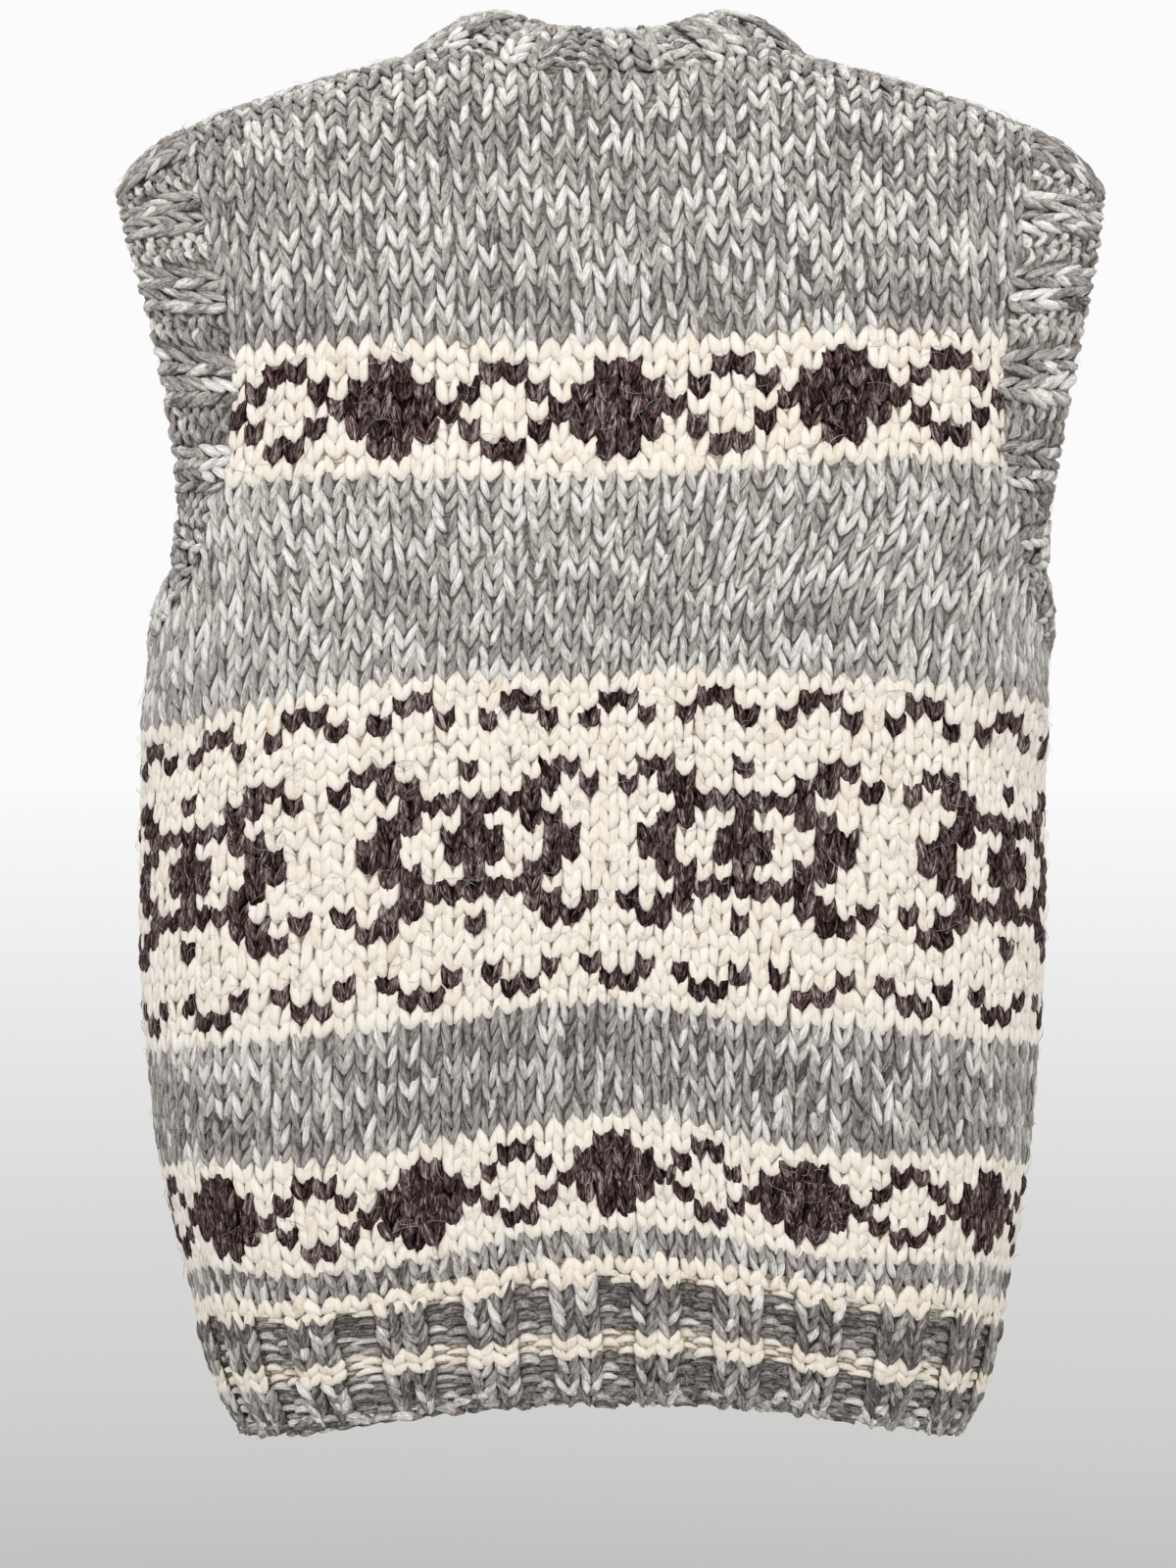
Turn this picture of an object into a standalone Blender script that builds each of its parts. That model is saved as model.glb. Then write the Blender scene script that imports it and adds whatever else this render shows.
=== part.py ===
"""Hand-knitted pullover vest, worn and filled out, with nobody in it.

Metres, +Z up. The wearer faces -Y, and +X is the wearer's left. The origin is the middle of
the shoulder line, on which the vest hangs. Tables are in millimetres, in stitches (wales,
counted from the centre) and in rows (courses, counted from the hem).
"""
import math
from collections import namedtuple

import bmesh
import bpy
import numpy as np

MM = 0.001
BACK, FRONT = 1.0, -1.0
SEAM_GAP = 0.3  # mm between panels that are sewn together
RIBBING_GAP = 0.4  # mm, measured upright, where the ribbing meets a panel at a slant
BAND_GAP = 0.6  # mm between a band and the panels, which meet at a bend
WALL = 5.5  # mm, doubled-up bulky wool

HALF_WALES = 28.0  # stitches from the centre to a side seam
RIB_TOP = 12.0  # courses of hem ribbing
UNDERARM = 52.0  # course where the armholes start
ROLL = 64.25  # course from which the cloth rolls over the shoulders
YOKE_COURSE = 8.75  # mm, one course of the yoke
YOKE_WALE = 10.06  # mm, one stitch of the yoke, stretched across the shoulders
YOKE_BLEND = 8.0  # courses over which stitches widen above the underarm
SAG_POWER = 1.25  # how the courses sag from the centre to the sides
ROLL_POWER = 2.6  # roundness of the shoulders, seen from the side
FLARE = 0.05  # how much wider the yoke is at the shoulder line

NECK_WALES = 9.0  # stitches from the centre to the neck end of a shoulder seam
BACK_NECK = 82.0  # course of the back neck edge at the centre
FRONT_NECK = 59.5  # course of the point of the V
BACK_NECK_POWER = 3.0
FRONT_NECK_POWER = 1.15

# The tube of the body by height: half width, depth to the back and to the front, the
# superellipse power of the section, and how far its middle is shifted to +X.
Section = namedtuple("Section", "drop half_width back front roundness shift")
SECTIONS = (
    Section(-50, 206.0, 95.0, 96.0, 2.40, -4.0),
    Section(0, 206.0, 95.0, 96.0, 2.40, -4.0),
    Section(50, 206.0, 95.0, 96.0, 2.40, -5.0),
    Section(100, 206.0, 95.0, 96.0, 2.40, -7.5),
    Section(150, 206.0, 96.0, 98.0, 2.40, -8.0),
    Section(205, 206.0, 99.0, 103.0, 2.35, -6.0),
    Section(262, 206.5, 100.0, 106.0, 2.30, 0.5),
    Section(320, 208.0, 99.0, 106.0, 2.25, 3.0),
    Section(365, 208.5, 98.0, 105.0, 2.20, 3.2),
    Section(411, 207.5, 97.0, 104.0, 2.20, 3.5),
    Section(456, 203.5, 95.0, 102.0, 2.15, 3.3),
    Section(493, 200.0, 93.0, 100.0, 2.10, 2.5),
    Section(538, 191.0, 89.0, 96.0, 2.10, 0.8),
    Section(575, 181.5, 84.0, 91.0, 2.10, -0.3),
    Section(602, 173.0, 78.0, 85.0, 2.10, -1.0),
    Section(625, 160.0, 71.0, 78.0, 2.10, -1.5),
)

# Courses from the hem up: height at the centre, and how much lower they lie at the sides.
Course = namedtuple("Course", "course drop sag")
COURSES = (
    Course(0, 592.0, 24.0),
    Course(6, 561.0, 29.0),
    Course(12, 528.5, 31.0),
    Course(14, 516.0, 30.0),
    Course(21, 468.0, 27.0),
    Course(28, 419.0, 22.0),
    Course(38, 346.5, 21.0),
    Course(48, 274.0, 22.0),
    Course(52, 245.0, 17.0),
    Course(56, 216.0, 7.0),
    Course(60, 187.0, 0.5),
    Course(64.25, 150.0, -1.0),
)

# Height of the shoulder line over the origin, by distance from the centre.
Ridge = namedtuple("Ridge", "out height")
RIDGE = (
    Ridge(0, 33.0),
    Ridge(60, 23.5),
    Ridge(95, 13.5),
    Ridge(125, 6.0),
    Ridge(160, -4.5),
    Ridge(195, -17.5),
    Ridge(230, -34.0),
)

# Armhole edge of a panel: share of the way from underarm to shoulder, and stitches from the
# centre there.
Edge = namedtuple("Edge", "rise wales")
ARMHOLE_EDGE = (
    Edge(0.00, 28.0),
    Edge(0.03, 25.4),
    Edge(0.08, 22.8),
    Edge(0.15, 20.6),
    Edge(0.25, 18.6),
    Edge(0.38, 17.7),
    Edge(0.55, 18.2),
    Edge(0.78, 19.3),
    Edge(1.00, 20.0),
)

FOLD_FADE = 3.0  # stitches from a side seam over which the folds die away
# Soft folds of the worn cloth, on one side of the centre and mirrored: where the middle of
# the fold is, its half length and half width, its lean, and its height.
Fold = namedtuple("Fold", "panel side wale course length width lean height")
FOLDS = (
    Fold(BACK, 1, 22.0, 50.5, 8.0, 2.0, -32, 3.6),
    Fold(BACK, 1, 19.5, 47.0, 8.0, 2.2, -24, -2.6),
    Fold(BACK, -1, 22.5, 50.0, 8.5, 2.1, -34, 3.9),
    Fold(BACK, -1, 19.8, 46.2, 8.5, 2.3, -26, -2.8),
    Fold(BACK, 1, 21.0, 20.0, 10.0, 3.2, 74, 2.6),
    Fold(BACK, -1, 22.5, 22.0, 11.0, 3.4, 78, 2.8),
    Fold(BACK, 1, 8.0, 17.0, 9.0, 3.6, 84, -2.2),
    Fold(BACK, -1, 7.0, 19.0, 9.0, 3.4, 86, -2.0),
    Fold(FRONT, 1, 21.5, 51.0, 8.0, 2.1, -30, 3.8),
    Fold(FRONT, -1, 22.0, 50.0, 8.5, 2.0, -33, 3.5),
    Fold(FRONT, 1, 18.5, 47.0, 9.0, 2.3, -26, -2.7),
    Fold(FRONT, -1, 19.0, 46.5, 8.5, 2.2, -24, -2.5),
    Fold(FRONT, 1, 20.0, 21.0, 10.0, 3.3, 76, 2.5),
    Fold(FRONT, -1, 21.0, 19.0, 10.0, 3.2, 72, 2.7),
    Fold(FRONT, 1, 7.0, 20.0, 11.0, 3.8, 85, -2.4),
    Fold(FRONT, -1, 8.5, 18.0, 10.0, 3.6, 82, -2.0),
)

# Free edge of an armhole band: an upright oval, and its distance from the centre by height.
ARM_RIM_MIDDLE, ARM_RIM_RISE, ARM_RIM_DEPTH = -140.0, 90.0, 36.0
ARM_RIM_POWER = 2.3
ArmRim = namedtuple("ArmRim", "height out")
ARM_RIM = (
    ArmRim(-235, 195.0),
    ArmRim(-215, 194.5),
    ArmRim(-185, 197.0),
    ArmRim(-150, 203.0),
    ArmRim(-115, 210.0),
    ArmRim(-82, 218.5),
    ArmRim(-45, 227.0),
)

# Free edge of the neck band, from the centre back round the neck to the point of the V, by
# the share of the way along the neck edge.
NeckRim = namedtuple("NeckRim", "share out y height")
NECK_RIM = (
    NeckRim(0.00, 0.0, 43.0, 19.0),
    NeckRim(0.12, 27.0, 38.0, 22.0),
    NeckRim(0.22, 44.0, 25.0, 30.0),
    NeckRim(0.31, 54.0, -2.0, 33.0),
    NeckRim(0.40, 56.0, -33.0, 25.0),
    NeckRim(0.50, 47.0, -64.0, 5.0),
    NeckRim(0.58, 36.0, -83.0, -21.0),
    NeckRim(0.66, 24.0, -93.5, -50.0),
    NeckRim(0.74, 13.5, -98.5, -77.0),
    NeckRim(0.84, 5.5, -101.5, -104.0),
    NeckRim(1.00, 0.0, -104.0, -134.0),
)

RIB_HEIGHT = 2.4  # mm that a knit rib stands proud of a purl rib
RIB_WALES = 4  # knit 2, purl 2
HEM_RIBS = 25  # all round
HEM_FIRST = 2  # where in a rib the back's first stitch is
ARM_RIBS = 15
NECK_RIBS = 16
HEM_COURSES = (0.0, 0.6, 3.5, 6.5, 9.5, RIB_TOP)
HEM_EDGE_DEEPER = 0.8  # mm that the cast-on edge is drawn in
HEM_EDGE_THINNER = 1.0  # mm that it is thinner on the inside
HEM_EDGE_RIBS = 0.5  # share of the rib height that is left there
BAND_FIRST = 1  # where in a rib a band's first stitch is
BAND_STATIONS = (0.0, 0.22, 0.5, 0.8, 1.0)
BAND_BULGE = 3.0  # mm that a band bows outward
BAND_WALL = 5.0
BAND_EDGE = 0.4  # share of the wall and the ribs that is left at a band's free edge

NECK_COLUMNS = 9  # panel grid, from the centre to the neck point
SHOULDER_COLUMNS = 9  # and on to the edge
BODY_ROWS = 14  # from the ribbing to the underarm
RISES = (0.03, 0.07, 0.12, 0.18, 0.26, 0.35, 0.45, 0.56, 0.67, 0.77, 0.86, 0.94, 1.0)

GREY_MARL = (0.33, 0.31, 0.29, 1.0)
SECTION_SAMPLES = 73
STEP = 0.15  # stitches or courses, for slopes
ON_SEAM = 0.05  # mm from the seam within which the cloth stands square to it


def column(table, name):
    """One named column of a table."""
    return np.array([getattr(row, name) for row in table], dtype=float)


def smooth(xs, ys, at):
    """A smooth curve through the points (xs, ys), read at `at` and level outside them."""
    slopes = np.gradient(ys, xs)
    at = np.clip(at, xs[0], xs[-1])
    i = np.clip(np.searchsorted(xs, at) - 1, 0, len(xs) - 2)
    span = xs[i + 1] - xs[i]
    t = (at - xs[i]) / span
    start, end = ys[i], ys[i + 1]
    out = start * (1 + 2 * t) * (1 - t) ** 2 + end * t**2 * (3 - 2 * t)
    return out + span * (slopes[i] * t * (1 - t) ** 2 - slopes[i + 1] * t**2 * (1 - t))


def looked_up(table, key, name, at):
    return smooth(column(table, key), column(table, name), np.asarray(at, dtype=float))


def along(run, value, distance):
    """Row by row, the value at a distance along a line whose running length is `run`."""
    distance = np.clip(distance, run[:, 0], run[:, -1])
    i = np.clip((run < distance[:, None]).sum(axis=1) - 1, 0, run.shape[1] - 2)
    rows = np.arange(len(run))
    low, high = run[rows, i], run[rows, i + 1]
    t = (distance - low) / np.maximum(high - low, 1e-9)
    return value[rows, i] * (1 - t) + value[rows, i + 1] * t


def quarter_turn(wide, deep, power):
    """Points of quarter superellipses from (0, deep) to (wide, 0), and running lengths."""
    turn = np.linspace(0, math.pi / 2, SECTION_SAMPLES)
    power = np.broadcast_to(np.asarray(power, dtype=float), wide.shape)[:, None]
    x = wide[:, None] * np.sin(turn) ** (2 / power)
    y = deep[:, None] * np.clip(np.cos(turn), 0, 1) ** (2 / power)
    run = np.hypot(np.diff(x, axis=1), np.diff(y, axis=1)).cumsum(axis=1)
    return x, y, np.hstack([np.zeros((len(wide), 1)), run])


def eased(share):
    return share * share * (3 - 2 * share)


def sagged(wale, course):
    """How far below the origin a stitch lies on the upright part."""
    share = eased(np.clip(np.abs(wale) / HALF_WALES, 0, 1) ** SAG_POWER)
    drop = looked_up(COURSES, "course", "drop", course)
    return drop + looked_up(COURSES, "course", "sag", course) * share


def roll_line(panel, wale):
    """Where a wale leaves the upright part of the back or front: out, y and drop."""
    return level_point(panel, wale, np.full(len(wale), ROLL))


def level_point(panel, wale, course):
    """Out from the centre, y and drop of a stitch of the upright part."""
    drop = sagged(wale, course)
    deep = "back" if panel == BACK else "front"
    x, y, run = quarter_turn(
        looked_up(SECTIONS, "drop", "half_width", drop),
        looked_up(SECTIONS, "drop", deep, drop),
        looked_up(SECTIONS, "drop", "roundness", drop),
    )
    blend = eased(np.clip((course - UNDERARM) / YOKE_BLEND, 0, 1))
    wide = (1 - blend) * run[:, -1] / HALF_WALES + blend * YOKE_WALE
    arc = np.abs(wale) * wide
    return along(run, x, arc), along(run, y, arc), drop


def cloth_point(panel, wale, course):
    """A point of the vest's outer form, in millimetres, without its folds."""
    wale, course = np.broadcast_arrays(*np.atleast_1d(wale, course))
    wale, course = wale.astype(float), course.astype(float)
    out, y, drop = level_point(panel, wale, np.minimum(course, ROLL))
    ridge = looked_up(RIDGE, "out", "height", out * (1 + FLARE))
    up, inward, run = quarter_turn(drop + ridge, y, ROLL_POWER)
    climb = np.maximum(course - ROLL, 0) * YOKE_COURSE
    rolled = climb > 0
    y = np.where(rolled, along(run, inward, climb), y)
    lift = along(run, up, climb)
    z = -drop + np.where(rolled, lift, 0)
    turn = np.where(rolled, np.clip(climb / run[:, -1], 0, 1), 0)
    out = out * (1 + FLARE * turn**2)
    x = np.sign(wale) * out + looked_up(SECTIONS, "drop", "shift", -z)
    return np.stack([x, panel * y, z], axis=-1)


def shoulder_course(panel, wale):
    """The course at which a wale reaches the shoulder seam."""
    wale = np.atleast_1d(np.abs(wale)).astype(float)
    out, y, drop = roll_line(panel, wale)
    ridge = looked_up(RIDGE, "out", "height", out * (1 + FLARE))
    return ROLL + quarter_turn(drop + ridge, y, ROLL_POWER)[2][:, -1] / YOKE_COURSE


def top_course(panel, wale):
    """The upper edge of a panel: the neck edge in the middle, the shoulder seam outside it."""
    wale = np.abs(np.atleast_1d(wale))
    low = BACK_NECK if panel == BACK else FRONT_NECK
    power = BACK_NECK_POWER if panel == BACK else FRONT_NECK_POWER
    neck_end = shoulder_course(panel, np.array([NECK_WALES]))[0]
    neck = low + (neck_end - low) * np.clip(wale / NECK_WALES, 0, 1) ** power
    return np.where(wale < NECK_WALES - 1e-6, neck, shoulder_course(panel, wale))


def fold_height(panel, wale, course):
    height = np.zeros(np.broadcast(wale, course).shape)
    for fold in FOLDS:
        if fold.panel != panel:
            continue
        lean = math.radians(fold.lean)
        dx, dy = wale * fold.side - fold.wale, course - fold.course
        lengthwise = (dx * math.cos(lean) + dy * math.sin(lean)) / fold.length
        across = (dy * math.cos(lean) - dx * math.sin(lean)) / fold.width
        edge = np.clip((HALF_WALES - np.abs(wale)) / FOLD_FADE, 0, 1)
        height = height + fold.height * edge * np.exp(-(lengthwise**2) - across**2)
    return height


def cloth(panel, wale, course):
    """Points on the outer face of a panel with its folds, and the normals there."""
    shape = np.broadcast(wale, course).shape
    wale = np.broadcast_to(wale, shape).ravel().astype(float)
    course = np.broadcast_to(course, shape).ravel().astype(float)
    across = cloth_point(panel, wale + STEP, course) - cloth_point(panel, wale - STEP, course)
    upward = cloth_point(panel, wale, course + STEP) - cloth_point(panel, wale, course - STEP)
    normal = panel * np.cross(upward, across)
    point = cloth_point(panel, wale, course)
    on_seam = np.abs(point[:, 1]) < ON_SEAM
    normal[on_seam, 1] = 0
    normal /= np.linalg.norm(normal, axis=1)[:, None]
    point = point + normal * fold_height(panel, wale, course)[:, None]
    return point.reshape(shape + (3,)), normal.reshape(shape + (3,))


def material(name):
    made = bpy.data.materials.new(name)
    made.use_nodes = True
    shader = made.node_tree.nodes["Principled BSDF"]
    shader.inputs["Base Color"].default_value = GREY_MARL
    shader.inputs["Roughness"].default_value = 0.95
    shader.inputs["Metallic"].default_value = 0.0
    return made


def lofted(name, sections, ring):
    """A closed solid through sections, each a closed loop of the same number of points.

    With `ring`, the last section joins the first, and otherwise both ends are capped.
    """
    sections = np.asarray(sections) * MM
    count, size = sections.shape[:2]
    shape = bmesh.new()
    points = [[shape.verts.new(p) for p in section] for section in sections]
    for i in range(count if ring else count - 1):
        here, there = points[i], points[(i + 1) % count]
        for j in range(size):
            k = (j + 1) % size
            shape.faces.new((here[j], here[k], there[k], there[j]))
    if not ring:
        half = size // 2
        for end in (points[0], points[-1]):
            for j in range(half - 1):
                shape.faces.new((end[j], end[j + 1], end[size - 2 - j], end[size - 1 - j]))
    bmesh.ops.triangulate(shape, faces=shape.faces, quad_method="SHORT_EDGE")
    bmesh.ops.recalc_face_normals(shape, faces=shape.faces)
    if shape.calc_volume(signed=True) < 0:
        bmesh.ops.reverse_faces(shape, faces=shape.faces)
    mesh = bpy.data.meshes.new(name)
    shape.to_mesh(mesh)
    shape.free()
    mesh.shade_smooth()
    mesh.set_sharp_from_angle(angle=math.radians(50))
    mesh.materials.append(material(name + "_wool"))
    made = bpy.data.objects.new(name, mesh)
    vest.objects.link(made)
    return made


def panel_columns():
    """Where the columns of a panel's grid stand, as shares of the way to its edge."""
    tip = ARMHOLE_EDGE[-1].wales
    inner = np.linspace(0, NECK_WALES / tip, NECK_COLUMNS + 1)
    outer = np.linspace(NECK_WALES / tip, 1, SHOULDER_COLUMNS + 1)[1:]
    half = np.concatenate([inner, outer])
    return np.concatenate([-half[:0:-1], half])


def panel_grid(panel):
    """Outer and inner points of a panel, row by row from the ribbing to the shoulders."""
    share = panel_columns()
    body = np.linspace(RIB_TOP, UNDERARM, BODY_ROWS + 1)
    rows = [(np.full(len(share), course), share * HALF_WALES) for course in body]
    for rise in RISES:
        wale = share * looked_up(ARMHOLE_EDGE, "rise", "wales", rise)
        rows.append((UNDERARM + rise * (top_course(panel, wale) - UNDERARM), wale))
    course = np.array([row[0] for row in rows])
    wale = np.array([row[1] for row in rows])
    outer, normal = cloth(panel, wale, course)
    outer[..., 1] += panel * SEAM_GAP / 2
    return outer, outer - normal * WALL


def make_panel(name, panel):
    outer, inner = panel_grid(panel)
    sections = [np.concatenate([o, i[::-1]]) for o, i in zip(outer, inner)]
    lofted(name, sections, False)
    return outer, inner


def rib_wave(stitch):
    """1 on the knit stitches of knit 2, purl 2, and 0 on the purl ones."""
    return np.where(np.mod(stitch, RIB_WALES) < RIB_WALES / 2, 1.0, 0.0)


def make_hem(name, panel):
    """Half of the hem ribbing, between the side seams."""
    stitches = HEM_RIBS * RIB_WALES // 2
    stitch = np.arange(stitches + 1)
    first = HEM_FIRST if panel == BACK else HEM_FIRST + stitches
    raised = rib_wave(stitch + first) * RIB_HEIGHT
    wale = (stitch / stitches * 2 - 1) * HALF_WALES * panel
    courses = np.array(HEM_COURSES)[:, None]
    outer, normal = cloth(panel, wale[None, :], courses)
    edge = (courses == HEM_COURSES[0]).astype(float)[..., None]
    raised = raised[None, :, None] * (1 - (1 - HEM_EDGE_RIBS) * edge)
    height = raised - HEM_EDGE_DEEPER * edge
    inner = outer - normal * (WALL - HEM_EDGE_THINNER * edge)
    outer = outer + normal * height
    for side in (outer, inner):
        side[-1, :, 2] -= RIBBING_GAP
        side[..., 1] += panel * SEAM_GAP / 2
    sections = [np.concatenate([o, i[::-1]]) for o, i in zip(outer, inner)]
    lofted(name, sections, False)


def edge_pairs(outer, inner, shares):
    """Outer and inner corners of a wall's edge at shares of the way along it."""
    run = np.concatenate([[0], np.linalg.norm(np.diff(outer, axis=0), axis=1).cumsum()])
    at = np.asarray(shares) * run[-1]
    return [
        np.stack([np.interp(at, run, line[:, i]) for i in range(3)], axis=-1)
        for line in (outer, inner)
    ]


def unit(vectors):
    return vectors / np.linalg.norm(vectors, axis=-1, keepdims=True)


def make_band(name, base_outer, base_inner, rim, ribs):
    """A ribbed band from the edge of the panels to its own free edge, all the way round."""
    count = len(base_outer)
    tangent = unit(np.roll(base_outer, -1, axis=0) - np.roll(base_outer, 1, axis=0))
    wall = unit(base_outer - base_inner)
    away = unit(np.cross(tangent, wall))
    middle = (base_outer + base_inner) / 2
    across = rim - middle
    away = away * np.sign((away * across).sum(axis=1, keepdims=True))
    start_outer = base_outer + away * BAND_GAP
    start_inner = base_inner + away * BAND_GAP
    rim_tangent = unit(np.roll(rim, -1, axis=0) - np.roll(rim, 1, axis=0))
    rim_wall = unit(np.cross(rim_tangent, unit(across)))
    rim_wall = rim_wall * np.sign((rim_wall * wall).sum(axis=1, keepdims=True))
    stitch = np.arange(count) * ribs * RIB_WALES / count + BAND_FIRST
    raised = (rib_wave(stitch) * RIB_HEIGHT)[:, None]
    outer, inner = [start_outer], [start_inner]
    start = (start_outer + start_inner) / 2
    for share in BAND_STATIONS[1:]:
        normal = unit(wall * (1 - share) + rim_wall * share)
        line = start + (rim - start) * share + normal * BAND_BULGE * 4 * share * (1 - share)
        edge = BAND_EDGE if share == 1 else 1.0
        outer.append(line + normal * (BAND_WALL / 2 * edge + raised * edge))
        inner.append(line - normal * BAND_WALL / 2 * edge)
    loop = np.stack(outer + inner[::-1], axis=1)
    lofted(name, loop, True)


def edges_joined(back, front):
    """The edge of the back and of the front, end to end, meeting halfway in the seams."""
    joined = np.concatenate([back, front[1:-1]])
    joined[0] = (back[0] + front[-1]) / 2
    joined[len(back) - 1] = (back[-1] + front[0]) / 2
    return np.concatenate([joined, joined[:1]])


def arm_rim(side, shares):
    """The free edge of an armhole band, from the underarm up the back and down the front."""
    turn = np.asarray(shares) * 2 * math.pi
    power = 2 / ARM_RIM_POWER
    lift = np.sign(-np.cos(turn)) * np.abs(np.cos(turn)) ** power
    z = ARM_RIM_MIDDLE + ARM_RIM_RISE * lift
    y = ARM_RIM_DEPTH * np.sign(np.sin(turn)) * np.abs(np.sin(turn)) ** power
    x = side * looked_up(ARM_RIM, "height", "out", z)
    return np.stack([x + looked_up(SECTIONS, "drop", "shift", -z), y, z], axis=-1)


def make_armhole_band(name, side, back, front):
    column_at = -1 if side > 0 else 0
    rows = slice(BODY_ROWS, None)
    lines = []
    for back_face, front_face in zip(back, front):
        lines.append(
            edges_joined(back_face[rows, column_at], front_face[rows, column_at][::-1])
        )
    top = len(back[0][rows]) - 1
    count = ARM_RIBS * RIB_WALES
    shares = np.arange(count) / count
    halves = []
    for half, line_part in ((0, slice(0, top + 1)), (1, slice(top, None))):
        mine = shares[(shares >= half / 2) & (shares < (half + 1) / 2)]
        part = [line[line_part] for line in lines]
        halves.append(edge_pairs(part[0], part[1], mine * 2 - half))
    base_outer = np.concatenate([half[0] for half in halves])
    base_inner = np.concatenate([half[1] for half in halves])
    make_band(name, base_outer, base_inner, arm_rim(side, shares), ARM_RIBS)


def neck_rim(shares):
    """The free edge of the neck band, all round from the centre back to +X, front, -X."""
    half = 1 - np.abs(np.asarray(shares) * 2 - 1)
    side = np.where(np.asarray(shares) <= 0.5, 1.0, -1.0)
    point = [looked_up(NECK_RIM, "share", name, half) for name in ("out", "y", "height")]
    shift = looked_up(SECTIONS, "drop", "shift", -point[2])
    return np.stack([side * point[0] + shift, point[1], point[2]], axis=-1)


def make_neck_band(name, back, front):
    middle = NECK_COLUMNS + SHOULDER_COLUMNS
    reach = NECK_COLUMNS
    count = NECK_RIBS * RIB_WALES
    shares = np.arange(count) / count
    lines = []
    for back_face, front_face in zip(back, front):
        left = np.concatenate(
            [
                back_face[-1, middle : middle + reach],
                (back_face[-1, middle + reach] + front_face[-1, middle + reach])[None] / 2,
                front_face[-1, middle : middle + reach][::-1],
            ]
        )
        right = np.concatenate(
            [
                back_face[-1, middle - reach + 1 : middle + 1][::-1],
                (back_face[-1, middle - reach] + front_face[-1, middle - reach])[None] / 2,
                front_face[-1, middle - reach + 1 : middle + 1],
            ]
        )
        lines.append((left, right[::-1]))
    parts = []
    for half in (0, 1):
        mine = shares[(shares >= half / 2) & (shares < (half + 1) / 2)]
        parts.append(edge_pairs(lines[0][half], lines[1][half], mine * 2 - half))
    base_outer = np.concatenate([part[0] for part in parts])
    base_inner = np.concatenate([part[1] for part in parts])
    make_band(name, base_outer, base_inner, neck_rim(shares), NECK_RIBS)


for old in list(bpy.data.objects):
    bpy.data.objects.remove(old)
vest = bpy.data.collections.new("Cowichan vest")
bpy.context.scene.collection.children.link(vest)

back_faces = make_panel("back", BACK)
front_faces = make_panel("front", FRONT)
make_hem("hem_rib_back", BACK)
make_hem("hem_rib_front", FRONT)
make_armhole_band("armhole_band_left", 1.0, back_faces, front_faces)
make_armhole_band("armhole_band_right", -1.0, back_faces, front_faces)
make_neck_band("neck_band", back_faces, front_faces)
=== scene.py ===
# Bulky hand-knit pullover vest, worn and empty, seen from the back.
# Places on the cloth are counted in stitches from the middle and rows from the hem, as in the
# chart, and heights over the cloth are in millimetres.
import math

import bmesh
import bpy
import numpy as np
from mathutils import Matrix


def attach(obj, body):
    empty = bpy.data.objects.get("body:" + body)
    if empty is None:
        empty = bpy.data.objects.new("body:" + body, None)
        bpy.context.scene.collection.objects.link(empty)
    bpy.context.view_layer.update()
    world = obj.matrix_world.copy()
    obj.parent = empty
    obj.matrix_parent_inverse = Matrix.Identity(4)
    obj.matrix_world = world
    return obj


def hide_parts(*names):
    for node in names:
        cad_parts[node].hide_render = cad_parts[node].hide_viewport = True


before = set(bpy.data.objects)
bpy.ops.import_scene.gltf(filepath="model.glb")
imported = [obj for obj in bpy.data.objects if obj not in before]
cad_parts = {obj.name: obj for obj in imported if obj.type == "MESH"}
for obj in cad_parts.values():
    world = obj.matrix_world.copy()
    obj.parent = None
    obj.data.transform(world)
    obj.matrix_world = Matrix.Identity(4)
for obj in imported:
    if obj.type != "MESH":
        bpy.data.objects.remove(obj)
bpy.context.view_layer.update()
bpy.ops.object.select_all(action="DESELECT")
dice = np.random.default_rng(41)
back, front = 1.0, -1.0

camera = {
    "place": (0.0053, 1.85, -0.320),
    "lens": 91.6,  # with a 36 mm sensor on the long side
    "turn": (90, 0, 180),
}

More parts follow.
